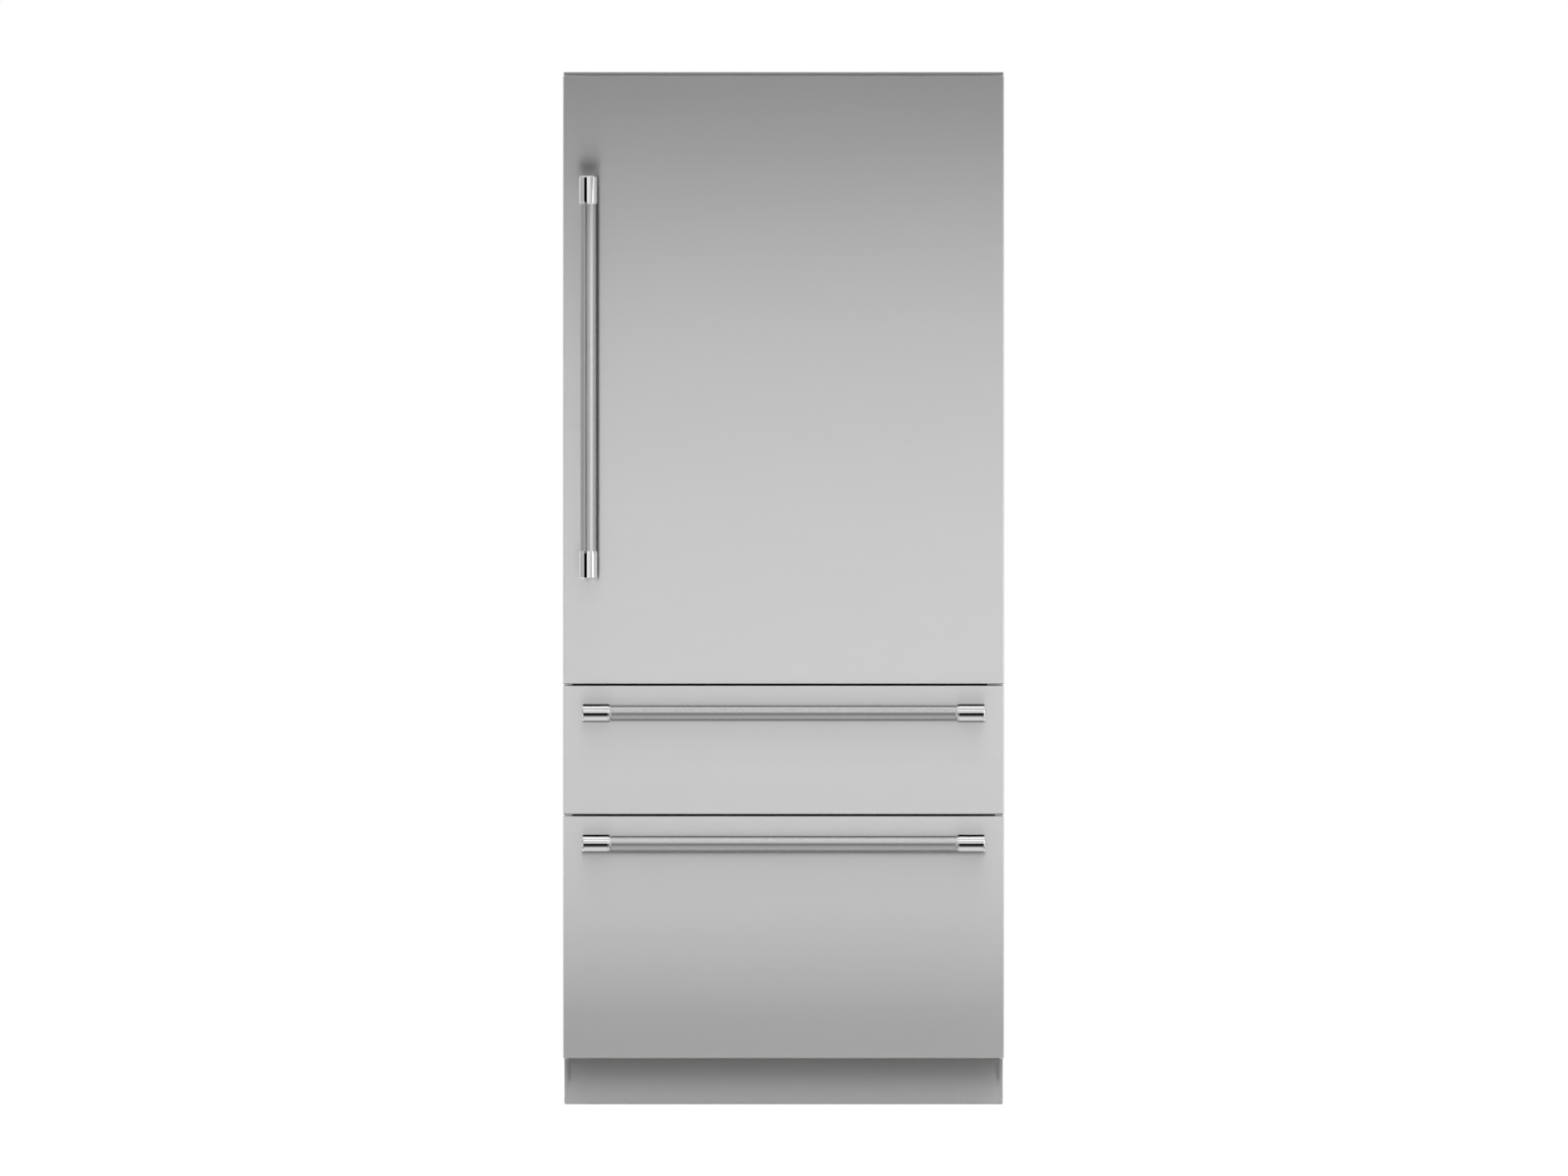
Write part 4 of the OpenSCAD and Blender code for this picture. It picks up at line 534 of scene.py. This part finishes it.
def plate(name, corners, color, glossy_only=True, glow=0.0):
    """A flat four-cornered card that belongs to the stage. One with a glow is a bright card."""
    mesh = bpy.data.meshes.new(name)
    mesh.from_pydata(corners, [], [(0, 1, 2, 3)])
    card = bpy.data.objects.new(name, mesh)
    scene.collection.objects.link(card)
    look = bpy.data.materials.new(name)
    look.use_nodes = True
    shader = look.node_tree.nodes["Principled BSDF"]
    shader.inputs["Base Color"].default_value = (*color, 1.0)
    shader.inputs["Roughness"].default_value = 1.0
    shader.inputs["Specular IOR Level"].default_value = 0.0
    shader.inputs["Emission Color"].default_value = (1.0, 1.0, 1.0, 1.0)
    shader.inputs["Emission Strength"].default_value = glow
    look.cycles.emission_sampling = "NONE"
    mesh.materials.append(look)
    if glossy_only:
        card.visible_camera = False
        card.visible_diffuse = False
        card.visible_shadow = False
        card.visible_transmission = False
    return look.node_tree


def shown_rays(tree):
    """1 for camera, glossy and transmission rays, 0 for diffuse ones."""
    path = tree.nodes.new("ShaderNodeLightPath")
    total = path.outputs["Is Camera Ray"]
    for ray in ("Is Glossy Ray", "Is Transmission Ray"):
        either = tree.nodes.new("ShaderNodeMath")
        either.operation = "MAXIMUM"
        tree.links.new(total, either.inputs[0])
        tree.links.new(path.outputs[ray], either.inputs[1])
        total = either.outputs[0]
    return total


# a white floor that glows for the rays that show it, so that it meets the white world
floor_half, floor_glow = 90, 0.60
tree = plate("floor", [(-floor_half, -floor_half, 0), (floor_half, -floor_half, 0),
                       (floor_half, floor_half, 0), (-floor_half, floor_half, 0)], grey(0.80), False)
boost = tree.nodes.new("ShaderNodeMath")
boost.operation = "MULTIPLY"
tree.links.new(shown_rays(tree), boost.inputs[0])
boost.inputs[1].default_value = floor_glow
tree.links.new(boost.outputs[0], tree.nodes["Principled BSDF"].inputs["Emission Strength"])

# the world is full white where it shows, and dimmer as a light
world_light = 0.55
world = bpy.data.worlds.new("studio")
scene.world = world
world.use_nodes = True
world.cycles.sampling_method = "NONE"
tree = world.node_tree
sky = tree.nodes["Background"]
sky.inputs["Color"].default_value = (1.0, 1.0, 1.0, 1.0)
strength = tree.nodes.new("ShaderNodeMapRange")
tree.links.new(shown_rays(tree), strength.inputs["Value"])
strength.inputs["To Min"].default_value = world_light
strength.inputs["To Max"].default_value = 1.0
tree.links.new(strength.outputs["Result"], sky.inputs["Strength"])


def card_over(name, a, b, z0, z1, color=BLACK, glow=0.0):
    """An upright card over the ground points a and b, each (x, distance from the fronts)."""
    (xa, da), (xb, db) = a, b
    ya, yb = front - da, front - db
    plate(name, [(xa, ya, z0), (xb, yb, z0), (xb, yb, z1), (xa, ya, z1)], color, glow=glow)


def card_across(name, near, far, half, color=BLACK, glow=0.0):
    """A card that runs across, given by (distance from the fronts, height) of its two long edges."""
    (d0, z0), (d1, z1) = near, far
    y0, y1 = front - d0, front - d1
    plate(name, [(-half, y0, z0), (half, y0, z0), (half, y1, z1), (-half, y1, z1)], color, glow=glow)


# large cards: the fronts' gradient from dark to bright comes from these
card_across("ceiling_card", (0.349, 3.95), (3.575, 3.45), 2.0, glow=1.70)
card_across("high_card", (0.95, 1.905), (1.93, 4.56), 1.5, grey(0.005))
card_across("low_card", (0.15, 0.003), (0.60, 0.003), 1.3, glow=0.05)
card_across("low_edge", (0.60, 0.003), (0.60, 0.17), 1.3, glow=0.35)
# painted shade under the fronts: dark cards that the toe kick reflects
card_across("soffit_card", (0.0, 0.0955), (-0.098, 0.0955), 0.4452)
card_across("soffit_edge", (0.0, 0.0955), (0.0, 0.078), 0.4452)
card_over("right_card", (1.2, 2.2), (2.2, 0.9), 0.6, 2.3, glow=2.0)
card_over("left_card", (-0.86, 1.6), (-1.48, 1.6), 0.9, 2.1, grey(0.02))

# flags: small cards beside the handles, which give the bars and polished ends their lines
upper_handle, lower_handle, door_handle = 0.807, 0.5385, -0.4025  # axes: heights of two, x of the third
bar_r, cap_r, axis_out = 0.016, 0.019, 0.048
clearance = 0.0005   # between a handle and the level flags over and under it
level_start = 0.047  # distance at which those start
bar_half, cap_start, cap_end = 0.355, 0.358, 0.415  # along a drawer's handle
bar_before, cap_before = 0.0665, 0.0695    # distances of the flags before the bars and their ends
bright_behind, dark_behind = 0.030, 0.010  # and of those between a bar and its front


def flat_flag(x0, x1, d0, d1, z, glow=0.0):
    """A level flag from x0 to x1, between two distances from the fronts."""
    y0, y1 = front - d0, front - d1
    plate("flag", [(x0, y0, z), (x1, y0, z), (x1, y1, z), (x0, y1, z)], BLACK, glow=glow)


def upright_flag(x0, x1, d, z0, z1, glow=0.0):
    """A flag that stands across the view at one distance from the fronts."""
    card_over("flag", (x0, d), (x1, d), z0, z1, glow=glow)


# the drawers' handles; the dark shade under the lower one reaches further down
for level, shade_below in ((upper_handle, 0.0155), (lower_handle, 0.0205)):
    for z0, z1, glow in ((-0.0100, -0.0045, 0.62), (-0.0045, 0.0006, 0.38), (0.0006, 0.0028, 0.75)):
        upright_flag(-bar_half, bar_half, bar_before, level + z0, level + z1, glow)
    flat_flag(-bar_half, bar_half, level_start, axis_out + 0.0050, level + bar_r + clearance, 0.15)
    flat_flag(-bar_half, bar_half, level_start, axis_out + 0.0060, level - bar_r - clearance, 0.45)
    flat_flag(-bar_half, bar_half, 0.060, 0.078, level - 0.0200, 0.80)
    upright_flag(-cap_end, cap_end, bright_behind, level - 0.0165, level + 0.0165, 1.0)
    upright_flag(-cap_end, cap_end, dark_behind, level - shade_below, level + 0.0145, 0.05)
    for end in (-1, 1):
        x0, x1 = sorted((end * cap_start, end * cap_end))
        for z0, z1, glow in ((-0.0045, 0.0008, 0.0), (-0.0075, -0.0045, 0.10),
                             (-0.0105, -0.0075, 0.30)):
            upright_flag(x0, x1, cap_before, level + z0, level + z1, glow)
        flat_flag(x0, x1, level_start, axis_out + 0.0095, level + cap_r + clearance)
        flat_flag(x0, x1, level_start, axis_out + 0.0060, level - cap_r - clearance, 0.25)
        flat_flag(x0, x1, 0.058, 0.084, level - 0.0225, 1.0)

# the door's handle: its ends, then the shades beside and behind the bar, brighter towards the foot
handle_foot, handle_head, cap_length = 1.083, 1.913, 0.058
for z0, z1 in ((handle_foot, handle_foot + cap_length), (handle_head - cap_length, handle_head)):
    for x0, x1, glow in ((-0.0120, -0.0024, 0.0), (-0.0200, -0.0120, 0.62), (-0.0024, 0.0048, 1.20),
                         (0.0048, 0.0085, 1.02), (0.0085, 0.0140, 0.70)):
        upright_flag(door_handle + x0, door_handle + x1, cap_before, z0, z1, glow)
upright_flag(door_handle + 0.0150, door_handle + 0.0230, 0.013, handle_foot, handle_head)
for z0, z1, glow in ((handle_foot, 1.366, 1.0), (1.366, 1.568, 0.90),
                     (1.568, 1.769, 0.76), (1.769, handle_head, 0.62)):
    upright_flag(door_handle - 0.0165, door_handle + 0.0165, bright_behind, z0, z1, glow)
upright_flag(door_handle - 0.018, door_handle + 0.023, 0.045, 1.914, 1.932, 0.20)

# painted shade: dim flags for the grooves beside the folded strips of the toe kick; and a card at the
# case's left side
for end in (-1, 1):
    x0, x1 = sorted((end * 0.4400, end * 0.4450))
    upright_flag(x0, x1, -0.0945, 0.045, 0.0955, 0.30)
card_over("side_card", (-1.40, 0.45), (-1.40, -0.20), 0.7, 2.2, glow=0.62)


def lamp(name, place, size, power):
    """A soft rectangular lamp aimed at the middle, seen by neither the camera nor reflections."""
    data = bpy.data.lights.new(name, "AREA")
    data.shape = "RECTANGLE"
    data.size, data.size_y = size
    data.energy = power
    data.spread = math.radians(180.0)
    made = bpy.data.objects.new(name, data)
    made.location = place
    made.rotation_mode = "QUATERNION"
    made.rotation_quaternion = (Vector((0, 0, 1.0)) - Vector(place)).to_track_quat("-Z", "Y")
    made.visible_camera = False
    made.visible_glossy = False
    scene.collection.objects.link(made)


lamp("key", (-1.8, -4.5, 4.2), (3.0, 2.2), 110.0)
lamp("fill", (3.0, -4.0, 2.6), (2.5, 2.5), 50.0)
lamp("back", (1.5, 4.0, 3.5), (3.0, 2.5), 60.0)


# ---------------------------------------------------------------- camera

camera_away = 60.0  # a long lens from far away gives the photo's flat view
eye = bpy.data.cameras.new("camera")
eye.sensor_width = 36.0
eye.lens = 669.0
eye.clip_start = 1.0
eye.clip_end = 400.0
camera = bpy.data.objects.new("camera", eye)
camera.location = (0.0009, front - camera_away, 1.0648)
camera.rotation_euler = (math.radians(90.0), 0.0, 0.0)
scene.collection.objects.link(camera)
scene.camera = camera
scene.view_settings.view_transform = "Standard"

bpy.context.view_layer.update()
